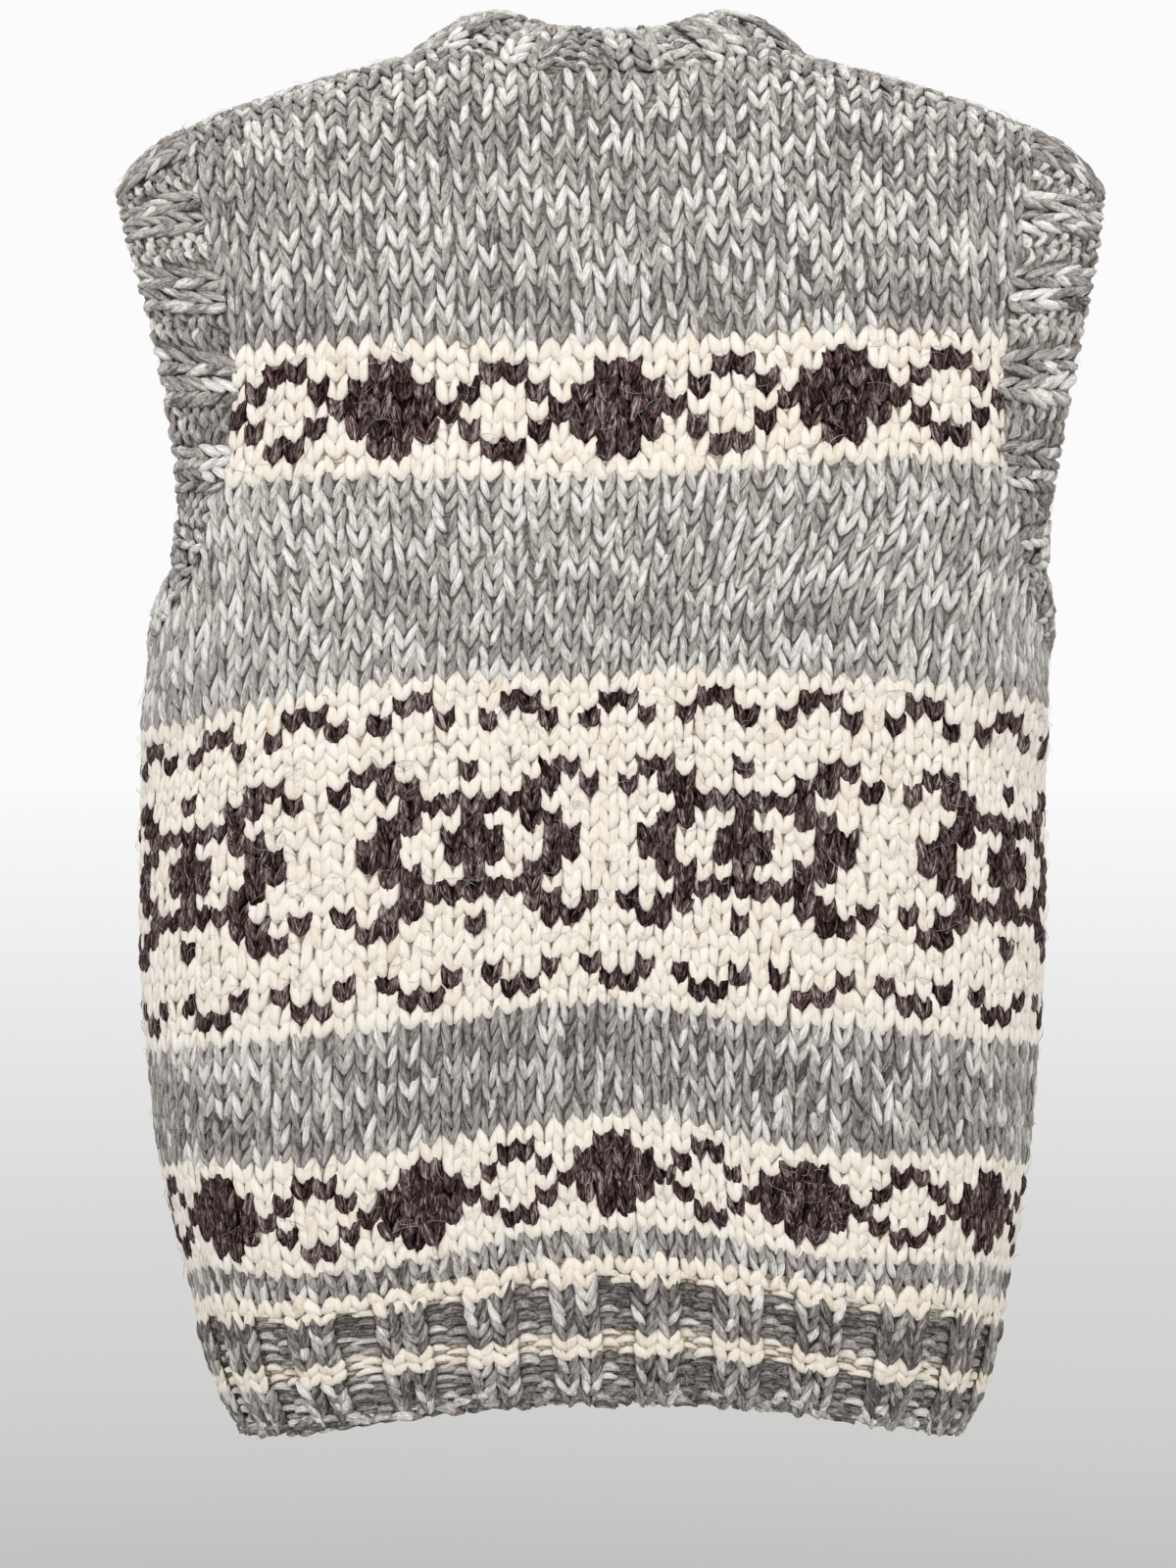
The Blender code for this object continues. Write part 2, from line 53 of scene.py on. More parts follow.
# The same form as the solids have.
form = {
    "halfWales": 28.0,
    "ribTop": 12,
    "underarm": 52.0,
    "topRow": 92,  # past the highest row of the shoulders
    "castOnStep": 5.5,  # mm a row for what hangs below the first row
    "roll": 64.25,
    "yokeCourse": 8.75,
    "yokeWale": 10.06,
    "yokeBlend": 8.0,
    "sagPower": 1.25,
    "rollPower": 2.6,
    "flare": 0.05,
    "neckWales": 9.0,
    "neck": {back: (82.0, 3.0), front: (59.5, 1.15)},  # lowest course, roundness
    "wall": 5.5,
    "seamGap": 0.3,
    "foldFade": 3.0,
    "sections": {
        "drop": (-50, 0, 50, 100, 150, 205, 262, 320, 365, 411, 456, 493, 538, 575, 602, 625),
        "halfWidth": (206, 206, 206, 206, 206, 206, 206.5, 208, 208.5, 207.5, 203.5, 200, 191,
                      181.5, 173, 160),
        "back": (95, 95, 95, 95, 96, 99, 100, 99, 98, 97, 95, 93, 89, 84, 78, 71),
        "front": (96, 96, 96, 96, 98, 103, 106, 106, 105, 104, 102, 100, 96, 91, 85, 78),
        "roundness": (2.4, 2.4, 2.4, 2.4, 2.4, 2.35, 2.3, 2.25, 2.2, 2.2, 2.15, 2.1, 2.1, 2.1,
                      2.1, 2.1),
        "shift": (-4, -4, -5, -7.5, -8, -6, 0.5, 3, 3.2, 3.5, 3.3, 2.5, 0.8, -0.3, -1, -1.5),
    },
    "courses": {
        "course": (0, 6, 12, 14, 21, 28, 38, 48, 52, 56, 60, 64.25),
        "drop": (592, 561, 528.5, 516, 468, 419, 346.5, 274, 245, 216, 187, 150),
        "sag": (24, 29, 31, 30, 27, 22, 21, 22, 17, 7, 0.5, -1),
    },
    "ridge": {
        "out": (0, 60, 95, 125, 160, 195, 230),
        "height": (33, 23.5, 13.5, 6, -4.5, -17.5, -34),
    },
    "armholeEdge": {
        "rise": (0, 0.03, 0.08, 0.15, 0.25, 0.38, 0.55, 0.78, 1),
        "wales": (28, 25.4, 22.8, 20.6, 18.6, 17.7, 18.2, 19.3, 20.0),
    },
    # panel, side, wale, course, half length, half width, lean, height
    "folds": (
        (back, 1, 22.0, 50.5, 8.0, 2.0, -32, 3.6), (back, 1, 19.5, 47.0, 8.0, 2.2, -24, -2.6),
        (back, -1, 22.5, 50.0, 8.5, 2.1, -34, 3.9), (back, -1, 19.8, 46.2, 8.5, 2.3, -26, -2.8),
        (back, 1, 21.0, 20.0, 10.0, 3.2, 74, 2.6), (back, -1, 22.5, 22.0, 11.0, 3.4, 78, 2.8),
        (back, 1, 8.0, 17.0, 9.0, 3.6, 84, -2.2), (back, -1, 7.0, 19.0, 9.0, 3.4, 86, -2.0),
        (front, 1, 21.5, 51.0, 8.0, 2.1, -30, 3.8), (front, -1, 22.0, 50.0, 8.5, 2.0, -33, 3.5),
        (front, 1, 18.5, 47.0, 9.0, 2.3, -26, -2.7), (front, -1, 19.0, 46.5, 8.5, 2.2, -24, -2.5),
        (front, 1, 20.0, 21.0, 10.0, 3.3, 76, 2.5), (front, -1, 21.0, 19.0, 10.0, 3.2, 72, 2.7),
        (front, 1, 7.0, 20.0, 11.0, 3.8, 85, -2.4), (front, -1, 8.5, 18.0, 10.0, 3.6, 82, -2.0),
    ),
}

# How far worn knitting has drifted on that form, from an even count: a table by row and stitch.
drift = {
    "row": (0, 5, 11, 17, 31, 38, 46, 63, 78),
    "stitch": (-28, -18, -12.8, -8.7, -4.7, -0.6, 3.4, 7.5, 11.5, 15.6, 19.6, 28),
    "up": (
        (0, 0, 0, 0, 0, 0, 0, 0, 0, 0, 0, 0),
        (0, 0.1, -0.3, -0.15, 0, -0.1, -0.4, -0.7, -0.55, -0.4, 0.1, 0),
        (0.3, 0.5, -0.4, -0.5, -0.1, 0, -0.25, -1.2, -1.4, -0.85, 0.3, 0.2),
        (0.3, 0.4, -0.8, -0.7, 0.2, 0.3, -0.15, -1.0, -1.44, -0.9, 0.25, 0.2),
        (0.4, 0.35, 0.24, 0, 0.12, 0.6, 0.35, -0.12, -0.24, -0.24, -0.12, 0),
        (1.0, 0.94, 0.7, 0.47, 0.35, 0.35, 0.35, 0.24, 0.24, 0.24, 0.35, 0.3),
        (1.6, 1.65, 1.3, 0.95, 0.8, 0.47, 0.35, 0.6, 0.6, 0.47, 0.3, 0.2),
        (0.9, 1.2, 1.3, 1.1, 0.7, 0.4, 0.3, 0.3, 0.5, 0.4, 0.1, 0.1),
        (0, 0, 0, 0, 0, 0, 0, 0, 0, 0, 0, 0),
    ),
    "side": (
        (0, -1.6, -0.7, -0.65, -0.4, -0.45, -0.4, 0.05, 0.6, 1.7, 2.3, 0),
        (0, -1.6, -0.7, -0.65, -0.4, -0.45, -0.4, 0.05, 0.6, 1.7, 2.3, 0),
        (0, -1.5, -0.65, -0.3, -0.3, -0.3, -0.25, 0, 0.6, 1.6, 2.2, 0),
        (0, -1.2, -0.5, 0.3, -0.1, 0, 0, -0.1, 0.6, 1.35, 1.9, 0),
        (0, -0.4, -0.1, 0.3, 0.2, -0.3, -0.5, -0.67, -0.3, 0.3, 0.76, 0),
        (0, -0.5, -0.1, 0.2, 0, -0.3, -0.57, -0.67, -0.4, 0.4, 0.67, 0),
        (0, -0.76, -0.2, 0.2, 0.2, -0.1, -0.3, -0.2, 0.1, 0.6, 0.4, 0),
        (0, 0, 0, 0, 0, 0, 0, 0, 0, 0, 0, 0),
        (0, 0, 0, 0, 0, 0, 0, 0, 0, 0, 0, 0),
    ),
}


def smooth(xs, ys, at):
    xs, ys = np.asarray(xs, float), np.asarray(ys, float)
    slopes = np.gradient(ys, xs)
    at = np.clip(at, xs[0], xs[-1])
    i = np.clip(np.searchsorted(xs, at) - 1, 0, len(xs) - 2)
    span = xs[i + 1] - xs[i]
    t = (at - xs[i]) / span
    out = ys[i] * (1 + 2 * t) * (1 - t) ** 2 + ys[i + 1] * t**2 * (3 - 2 * t)
    return out + span * (slopes[i] * t * (1 - t) ** 2 - slopes[i + 1] * t**2 * (1 - t))


def lookUp(table, key, name, at):
    return smooth(table[key], table[name], np.asarray(at, float))


def along(run, value, distance):
    distance = np.clip(distance, run[:, 0], run[:, -1])
    i = np.clip((run < distance[:, None]).sum(axis=1) - 1, 0, run.shape[1] - 2)
    rows = np.arange(len(run))
    low, high = run[rows, i], run[rows, i + 1]
    t = (distance - low) / np.maximum(high - low, 1e-9)
    return value[rows, i] * (1 - t) + value[rows, i + 1] * t


def quarterTurn(wide, deep, power):
    turn = np.linspace(0, math.pi / 2, 73)
    power = np.broadcast_to(np.asarray(power, float), wide.shape)[:, None]
    x = wide[:, None] * np.sin(turn) ** (2 / power)
    y = deep[:, None] * np.clip(np.cos(turn), 0, 1) ** (2 / power)
    run = np.hypot(np.diff(x, axis=1), np.diff(y, axis=1)).cumsum(axis=1)
    return x, y, np.hstack([np.zeros((len(wide), 1)), run])


def eased(share):
    return share * share * (3 - 2 * share)


def levelPoint(panel, wale, course):
    share = eased(np.clip(np.abs(wale) / form["halfWales"], 0, 1) ** form["sagPower"])
    drop = lookUp(form["courses"], "course", "drop", course)
    drop = drop + lookUp(form["courses"], "course", "sag", course) * share
    sections = form["sections"]
    x, y, run = quarterTurn(
        lookUp(sections, "drop", "halfWidth", drop),
        lookUp(sections, "drop", "back" if panel == back else "front", drop),
        lookUp(sections, "drop", "roundness", drop),
    )
    blend = eased(np.clip((course - form["underarm"]) / form["yokeBlend"], 0, 1))
    wide = (1 - blend) * run[:, -1] / form["halfWales"] + blend * form["yokeWale"]
    arc = np.abs(wale) * wide
    return along(run, x, arc), along(run, y, arc), drop


def rollTurn(out, y, drop):
    ridge = lookUp(form["ridge"], "out", "height", out * (1 + form["flare"]))
    return quarterTurn(drop + ridge, y, form["rollPower"])


def clothPoint(panel, wale, course):
    out, y, drop = levelPoint(panel, wale, np.minimum(course, form["roll"]))
    up, inward, run = rollTurn(out, y, drop)
    climb = np.maximum(course - form["roll"], 0) * form["yokeCourse"]
    rolled = climb > 0
    y = np.where(rolled, along(run, inward, climb), y)
    z = -drop + np.where(rolled, along(run, up, climb), 0)
    turn = np.where(rolled, np.clip(climb / run[:, -1], 0, 1), 0)
    out = out * (1 + form["flare"] * turn**2)
    x = np.sign(wale) * out + lookUp(form["sections"], "drop", "shift", -z)
    return np.stack([x, panel * y, z], axis=-1)


def shoulderCourse(panel, wale):
    out, y, drop = levelPoint(panel, wale, np.full(len(wale), form["roll"]))
    return form["roll"] + rollTurn(out, y, drop)[2][:, -1] / form["yokeCourse"]


def topCourse(panel, wale):
    wale = np.abs(np.atleast_1d(np.asarray(wale, float)))
    low, power = form["neck"][panel]
    neckEnd = shoulderCourse(panel, np.array([form["neckWales"]]))[0]
    neck = low + (neckEnd - low) * np.clip(wale / form["neckWales"], 0, 1) ** power
    return np.where(wale < form["neckWales"] - 1e-6, neck, shoulderCourse(panel, wale))


def foldHeight(panel, wale, course):
    height = np.zeros(wale.shape)
    for side, middle, row, length, width, lean, high in (f[1:] for f in form["folds"] if f[0] == panel):
        lean = math.radians(lean)
        dx, dy = wale * side - middle, course - row
        lengthwise = (dx * math.cos(lean) + dy * math.sin(lean)) / length
        across = (dy * math.cos(lean) - dx * math.sin(lean)) / width
        edge = np.clip((form["halfWales"] - np.abs(wale)) / form["foldFade"], 0, 1)
        height += high * edge * np.exp(-(lengthwise**2) - across**2)
    return height


def unit(vectors):
    return vectors / np.maximum(np.linalg.norm(vectors, axis=-1, keepdims=True), 1e-9)


# A surface is a grid of points and normals, read at any stitch a and row b.
def gridSurface(a, b, points, normals, **more):
    turned = np.cross(np.gradient(points, axis=0), np.gradient(points, axis=1))
    hand = float(np.sign((turned * normals).sum()))
    return {"a": a, "b": b, "points": points, "normals": unit(normals), "hand": hand, **more}


def readGrid(surface, name, a, b):
    i, j = (np.clip((at - surface[k][0]) / (surface[k][1] - surface[k][0]), 0, len(surface[k]) - 1.0001)
            for k, at in (("a", a), ("b", b)))
    i0, j0, grid = i.astype(int), j.astype(int), surface[name]
    s, t = (i - i0)[..., None], (j - j0)[..., None]
    return ((grid[i0, j0] * (1 - s) + grid[i0 + 1, j0] * s) * (1 - t)
            + (grid[i0, j0 + 1] * (1 - s) + grid[i0 + 1, j0 + 1] * s) * t)


def readSurface(surface, a, b):
    if "limit" in surface:
        a, b = surface["limit"](a, b)
    return readGrid(surface, "points", a, b), unit(readGrid(surface, "normals", a, b))


def drifted(surface, a, b):
    if "drift" not in surface:
        return a, b
    shift = readGrid(surface, "drift", a, b)
    return a + shift[..., 0], b + shift[..., 1]


def driftGrid(name, wales, courses):
    lines = np.array([smooth(drift["stitch"], line, wales) for line in drift[name]])
    return np.stack([smooth(drift["row"], line, courses) for line in lines.T])


def panelSurface(panel):
    wales, courses = np.arange(-28, 28.01, 0.5), np.arange(-1, 94, 0.5)
    top = topCourse(panel, wales)
    wale, course = np.meshgrid(wales, courses, indexing="ij")
    course = np.minimum(course, top[:, None])
    w, c = wale.ravel(), course.ravel()
    points = clothPoint(panel, w, c)
    knit = np.maximum(c, 0.5)  # below the first row the cloth faces as it does there
    normals = panel * np.cross(
        clothPoint(panel, w, knit) - clothPoint(panel, w, knit - 0.3),
        clothPoint(panel, w + 0.15, knit) - clothPoint(panel, w - 0.15, knit))
    normals[np.abs(points[:, 1]) < 0.05, 1] = 0
    normals = unit(normals)
    points += normals * foldHeight(panel, w, c)[:, None]
    points[:, 1] += panel * form["seamGap"] / 2
    points[:, 2] += form["castOnStep"] * np.minimum(c, 0)
    rise = np.linspace(0, 1, 60)
    edgeWale = lookUp(form["armholeEdge"], "rise", "wales", rise)
    edgeCourse = form["underarm"] + rise * (topCourse(panel, edgeWale) - form["underarm"])

    def limit(a, b):
        edge = np.where(b > form["underarm"], np.interp(b, edgeCourse, edgeWale), form["halfWales"])
        a = np.clip(a, -edge, edge)
        return a, np.minimum(b, np.interp(a, wales, top))

    shape = wale.shape + (3,)
    return gridSurface(
        wales, courses, points.reshape(shape), normals.reshape(shape), limit=limit,
        top=lambda a: np.interp(a, wales, top),
        edge=lambda b: np.interp(b, edgeCourse, edgeWale, left=form["halfWales"]),
        edgeLine=(edgeWale, edgeCourse),
        drift=np.stack([driftGrid("side", wales, courses), driftGrid("up", wales, courses)], axis=-1),
    )


bands = {
    "gap": 0.6,
    "wall": 5.0,
    "bulge": 3.0,
    "rows": 5,
    "pickedUp": 0.3,  # rows that lap onto the panel
    "ribHeight": 2.8,
    "armRibs": 15,
    "neckRibs": 16,
    "armRim": {
        "middle": -140, "rise": 90, "depth": 36, "power": 2.3,
        "height": (-235, -215, -185, -150, -115, -82, -45),
        "out": (195, 194.5, 197, 203, 210, 218.5, 227),
    },
    "neckRim": {
        "share": (0, 0.12, 0.22, 0.31, 0.4, 0.5, 0.58, 0.66, 0.74, 0.84, 1),
        "out": (0, 27, 44, 54, 56, 47, 36, 24, 13.5, 5.5, 0),
        "y": (43, 38, 25, -2, -33, -64, -83, -93.5, -98.5, -101.5, -104),
        "height": (19, 22, 30, 33, 25, 5, -21, -50, -77, -104, -134),
    },
}


def armRim(side, shares):
    rim = bands["armRim"]
    turn, power = shares * 2 * math.pi, 2 / rim["power"]
    z = rim["middle"] - rim["rise"] * np.sign(np.cos(turn)) * np.abs(np.cos(turn)) ** power
    y = rim["depth"] * np.sign(np.sin(turn)) * np.abs(np.sin(turn)) ** power
    x = side * lookUp(rim, "height", "out", z) + lookUp(form["sections"], "drop", "shift", -z)
    return np.stack([x, y, z], axis=-1)


def neckRim(shares):
    half, side = 1 - np.abs(shares * 2 - 1), np.where(shares <= 0.5, 1.0, -1.0)
    out, y, z = (lookUp(bands["neckRim"], "share", k, half) for k in ("out", "y", "height"))
    return np.stack([side * out + lookUp(form["sections"], "drop", "shift", -z), y, z], axis=-1)


def resampled(lines, count):
    run = np.concatenate([[0], np.linalg.norm(np.diff(lines[0], axis=0), axis=1).cumsum()])
    at = np.arange(count) / count * run[-1]
    return [np.stack([np.interp(at, run, line[:, k]) for k in range(3)], axis=-1) for line in lines]


def bandSurface(firstHalf, secondHalf, rimOf, ribs):
    # Each half of the edge is a list of panel surface, stitches, rows, and the way into the panel.
    count = ribs * 4 * 2
    halves = []
    for half in (firstHalf, secondHalf):
        lines = [[], [], [], []]
        for surface, wale, course, (inStitch, inRow) in half:
            p, n = readSurface(surface, wale, course)
            q, m = readSurface(surface, wale + inStitch, course + inRow)
            for line, part in zip(lines, (p, p - n * form["wall"], q, m)):
                line.append(part)
        halves.append(resampled([np.concatenate(line) for line in lines], count // 2))
    outer, inner, lap, lapNormal = (np.concatenate(pair) for pair in zip(*halves))
    rim = rimOf(np.arange(count) / count)
    ahead = lambda line: unit(np.roll(line, -1, axis=0) - np.roll(line, 1, axis=0))
    wall = unit(outer - inner)
    away = unit(np.cross(ahead(outer), wall))
    across = rim - (outer + inner) / 2
    away *= np.sign((away * across).sum(axis=1, keepdims=True))
    rimWall = unit(np.cross(ahead(rim), unit(across)))
    rimWall *= np.sign((rimWall * wall).sum(axis=1, keepdims=True))
    start = (outer + inner) / 2 + away * bands["gap"]
    lapShare = bands["pickedUp"] / bands["rows"]
    points, normals = [], []
    shares = np.linspace(-lapShare, 1, 25)
    for share in shares:
        if share < 0:
            part = -share / lapShare
            normals.append(unit(wall * (1 - part) + lapNormal * part))
            points.append((start + wall * bands["wall"] / 2) * (1 - part) + lap * part)
            continue
        normal = unit(wall * (1 - share) + rimWall * share)
        line = start + (rim - start) * share + normal * bands["bulge"] * 4 * share * (1 - share)
        points.append(line + normal * bands["wall"] / 2)
        normals.append(normal)
    points, normals = np.stack(points, axis=1), np.stack(normals, axis=1)
    pad = 8  # the grid runs past its start and end, so stitches there bend on round
    wrap = np.arange(-pad, count + pad + 1)
    return gridSurface(wrap / 2, shares * bands["rows"], points[wrap % count], normals[wrap % count])


# One lobe of yarn, as it shows on the face of the knitting. Each ring of a small sphere is
# moved and scaled along the yarn: two poles and four rings.
lobes = {
    # along and sideways in rows and stitches, height in mm, half width, half thickness
    "slimLeg": {  # a leg of a loose knit stitch
        "along": (-0.48, -0.30, 0.06, 0.52, 1.00, 1.36),
        "side": (0.040, 0.085, 0.195, 0.305, 0.400, 0.460),
        "height": (-0.50, 0.00, 0.25, 0.05, -0.55, -1.15),
        "half": (0, 0.150, 0.240, 0.225, 0.140, 0),
        "thick": (0, 1.00, 1.55, 1.50, 1.05, 0),
    },
    "fullLeg": {  # the same in the softer, fuller yarns
        "along": (-0.40, -0.25, 0.10, 0.53, 0.92, 1.16),
        "side": (0.070, 0.120, 0.225, 0.310, 0.380, 0.425),
        "height": (-0.45, 0.00, 0.20, 0.05, -0.55, -1.15),
        "half": (0, 0.215, 0.312, 0.300, 0.205, 0),
        "thick": (0, 0.95, 1.25, 1.20, 0.90, 0),
    },
    "purlBump": {  # a loop of a purl stitch, lying across
        "along": (-0.64, -0.44, -0.15, 0.15, 0.44, 0.64),
        "side": (-0.20, -0.10, 0.07, 0.07, -0.10, -0.20),
        "height": (-1.8, -0.8, -0.05, -0.05, -0.8, -1.8),
        "half": (0, 0.200, 0.270, 0.270, 0.200, 0),
        "thick": (0, 1.15, 1.70, 1.70, 1.15, 0),
    },
    "loop": {  # a stray fibre with both ends in the cloth
        "along": (-0.62, -0.45, -0.16, 0.16, 0.47, 0.62),
        "side": (-0.10, -0.03, 0.10, 0.12, 0.02, -0.10),
        "height": (-1.2, 0.5, 1.5, 1.7, 0.8, -1.0),
        "half": (0, 0.009, 0.011, 0.011, 0.009, 0),
        "thick": (0, 0.08, 0.10, 0.10, 0.08, 0),
    },
    "wisp": {  # a stray fibre with one free end
        "along": (-0.50, -0.38, -0.10, 0.20, 0.52, 0.70),
        "side": (0.00, 0.01, 0.07, 0.04, -0.08, -0.20),
        "height": (-1.0, 0.4, 1.3, 1.9, 2.6, 3.1),
        "half": (0, 0.010, 0.010, 0.009, 0.007, 0),
        "thick": (0, 0.10, 0.10, 0.09, 0.07, 0),
    },
}


def makeLobe(name, sides=5, crosswise=False):
    rings = lobes[name]
    bpy.ops.mesh.primitive_uv_sphere_add(segments=sides, ring_count=5, radius=1, calc_uvs=True)
    lobe = bpy.context.object
    bpy.ops.object.mode_set(mode="EDIT")
    edited = bmesh.from_edit_mesh(lobe.data)
    levels = sorted({round(v.co.z, 3) for v in edited.verts})
    groups = [[v.index for v in edited.verts if abs(v.co.z - level) < 2e-3] for level in levels]
    for k, (level, group) in enumerate(zip(levels, groups)):
        bpy.ops.mesh.select_all(action="DESELECT")
        edited = bmesh.from_edit_mesh(lobe.data)
        edited.verts.ensure_lookup_table()
        for i in group:
            edited.verts[i].select = True
        bmesh.update_edit_mesh(lobe.data)
        radius = max(math.sqrt(max(1 - level**2, 0)), 1e-6)
        bpy.ops.transform.resize(value=(rings["half"][k] / radius, rings["thick"][k] / radius, 1),
                                 center_override=(0, 0, 0))
        bpy.ops.transform.translate(
            value=(rings["side"][k], -rings["height"][k], rings["along"][k] - level))
    bpy.ops.object.mode_set(mode="OBJECT")
    mesh = lobe.data
    co = np.array([v.co[:] for v in mesh.vertices])
    sideways, lengthwise, height = co[:, 0], co[:, 2], -co[:, 1]
    u, v = (lengthwise, sideways) if crosswise else (sideways, lengthwise)
    places = [tuple(d.uv) for d in mesh.uv_layers.active.data]
    corners = [[(v, places[i]) for v, i in zip(p.vertices, p.loop_indices)] for p in mesh.polygons]
    if crosswise:  # swapping the two directions turns the faces round
        corners = [face[::-1] for face in corners]
    corners.sort()  # a sphere's faces come in another order on each run
    faces = [[v for v, place in face] for face in corners]
    uv = np.array([place for face in corners for v, place in face])
    bpy.data.objects.remove(lobe)
    return {"u": u, "v": v, "h": height, "faces": faces, "uv": uv}


# Each copy of a lobe is a row of these.
placeNames = ("stitch", "row", "flip", "turn", "lift", "wide", "long", "thick", "tint")


def placesOf(count, **values):
    places = {"flip": 1.0, "turn": 0.0, "lift": 0.0, "wide": 1.0, "long": 1.0, "thick": 1.0, "tint": 0.5}
    places.update(values)
    return np.stack([np.broadcast_to(np.asarray(places[k], float), count) for k in placeNames], axis=1)


def copyLobes(name, lobe, surface, places, finish, rough=0.0):
    n, k = len(places), len(lobe["u"])
    a, b, flip, turn, lift, wide, long, thick, tint = (places[:, i][:, None] for i in range(9))
    u, v = flip * wide * lobe["u"], long * lobe["v"]
    u, v = u * np.cos(turn) - v * np.sin(turn), u * np.sin(turn) + v * np.cos(turn)
    u, v = u + dice.normal(0, 0.016 * rough, u.shape), v + dice.normal(0, 0.02 * rough, u.shape)
    at, normal = readSurface(surface, *drifted(surface, a + u, b + v))
    high = lift + thick * lobe["h"] + dice.normal(0, 0.13 * rough, u.shape)
    co = (at + normal * high[..., None]) * 0.001
    sizes = np.array([len(f) for f in lobe["faces"]])
    same = np.concatenate(lobe["faces"])
    starts = np.concatenate([[0], sizes.cumsum()])
    turned = np.concatenate([np.arange(starts[i], starts[i + 1])[::-1] for i in range(len(sizes))])
    outward = (flip[:, 0] * surface["hand"]) > 0
    order = np.where(outward[:, None], np.arange(len(same)), turned)
    loops = same[order] + (np.arange(n) * k)[:, None]
    uv = lobe["uv"][order] + dice.integers(0, 60, (n, 1, 2))
    mesh = bpy.data.meshes.new(name)
    mesh.vertices.add(n * k)
    mesh.vertices.foreach_set("co", co.ravel())
    mesh.loops.add(loops.size)
    mesh.loops.foreach_set("vertex_index", loops.ravel())
    total = np.tile(sizes, n)
    mesh.polygons.add(len(total))
    mesh.polygons.foreach_set("loop_start", np.concatenate([[0], total.cumsum()[:-1]]))
    mesh.polygons.foreach_set("loop_total", total)
    mesh.update(calc_edges=True)
    mesh.uv_layers.new(name="yarnMap").data.foreach_set("uv", uv.ravel())
    mesh.attributes.new("tint", "FLOAT", "POINT").data.foreach_set("value", np.repeat(tint[:, 0], k))
    mesh.shade_smooth()
    mesh.materials.append(finish)
    made = bpy.data.objects.new(name, mesh)
    bpy.context.collection.objects.link(made)
    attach(made, "root")
    return made


# The chart: each row lists the dark stitches of its repeat, from the top row down.
chart = {
    "lozenges": {
        "repeat": 10,
        "rows": ((1, 2, 6, 7), (0, 1, 2, 3, 5, 8), (0, 1, 2, 3, 4, 9), (0, 1, 2, 3, 5, 8), (1, 2, 6, 7)),
    },
    "hooks": {
        "repeat": 14,
        "rows": (
            (1, 2, 6, 10, 11), (0, 2, 3, 9, 10, 12), (3, 4, 5, 6, 7, 8, 9), (2, 3, 6, 9, 10),
            (1, 2, 5, 6, 7, 10, 11), (1, 2, 5, 6, 7, 10, 11), (2, 3, 6, 9, 10),
            (3, 4, 5, 6, 7, 8, 9), (0, 2, 3, 9, 10, 12), (1, 2, 6, 10, 11),
        ),
    },
    "arches": {"repeat": 5, "rows": ((1, 2), (0, 3))},
    "cups": {"repeat": 5, "rows": ((0, 3), (1, 2))},
    # motif, its top row, and the stitch its repeat starts from
    "placed": (("lozenges", 65, -2), ("arches", 46, -3), ("hooks", 42, 0), ("cups", 30, -3),
               ("lozenges", 19, -3)),
    "ecruRows": ((4, 5), (10, 11), (14, 20), (28, 47), (60, 66)),
}
grey, ecru, dark = 0, 1, 2


def yarnOf(stitch, row):
    stitch, row = np.broadcast_arrays(stitch, row)
    yarn = np.zeros(stitch.shape, int)
    for first, last in chart["ecruRows"]:
        yarn[(row >= first) & (row <= last)] = ecru
    for name, top, start in chart["placed"]:
        motif = chart[name]
        for k, darks in enumerate(motif["rows"]):
            yarn[(row == top - k) & np.isin((stitch - start) % motif["repeat"], darks)] = dark
    return yarn


def hexColour(code):
    parts = [int(code[i : i + 2], 16) / 255 for i in (1, 3, 5)]
    return tuple(c / 12.92 if c <= 0.04045 else ((c + 0.055) / 1.055) ** 2.4 for c in parts) + (1.0,)


def addNode(tree, kind, settings=None, links=None):
    # settings are the node's own choices, its plain inputs and a ramp's stops
    node = tree.nodes.new(kind)
    for name, value in (settings or {}).items():
        if name == "stops":
            for place, code in value[1:-1]:
                node.color_ramp.elements.new(place)
            for stop, (place, code) in zip(node.color_ramp.elements, value):
                stop.position, stop.color = place, hexColour(code)
        elif isinstance(name, str) and hasattr(node, name):
            setattr(node, name, value)
        else:
            node.inputs[name].default_value = value
    for name, source in (links or {}).items():
        tree.links.new(source, node.inputs[name])
    return node.outputs


woolFinish = {
    # Undyed sheep's wool, softly spun and matt, with fibres that lie along the yarn. A fibre is
    # 0.03 mm, too fine to show, so the streaks are drawn 0.5 to 1.5 mm wide.
    "ecruWool": {
        "stops": ((0.0, "#BDA685"), (0.2, "#DCCFBB"), (0.5, "#EAE1D4"), (1.0, "#F3EFE8")),
        "strands": 0.10, "fibres": 0.34, "haze": 0.26, "tint": 0.45, "bump": 0.35, "sheen": 0.6,
        "gloss": 0.05,
    },
    # Brown-black fleece: the kinky fibres catch the light and stand out pale.
    "darkWool": {
        "stops": ((0.0, "#060202"), (0.3, "#2A1D1D"), (0.5, "#513F3F"), (0.7, "#786664"),
                  (1.0, "#C4B8B3")),
        "strands": 0.22, "fibres": 0.72, "haze": 0.40, "tint": 0.25, "bump": 0.8, "sheen": 0.0,
        "gloss": 0.02,
    },
    # A pale and a grey strand spun together, so that whole stitches come out pale.
    "greyMarlWool": {
        "stops": ((0.0, "#534D4A"), (0.2, "#918A86"), (0.42, "#BAB3AE"), (0.6, "#D0CAC4"),
                  (0.76, "#F2EEE7"), (1.0, "#FDFBF6")),
        "strands": 0.30, "fibres": 0.46, "haze": 0.34, "tint": 0.80, "bump": 0.8, "sheen": 0.1,
        "gloss": 0.06,
    },
}


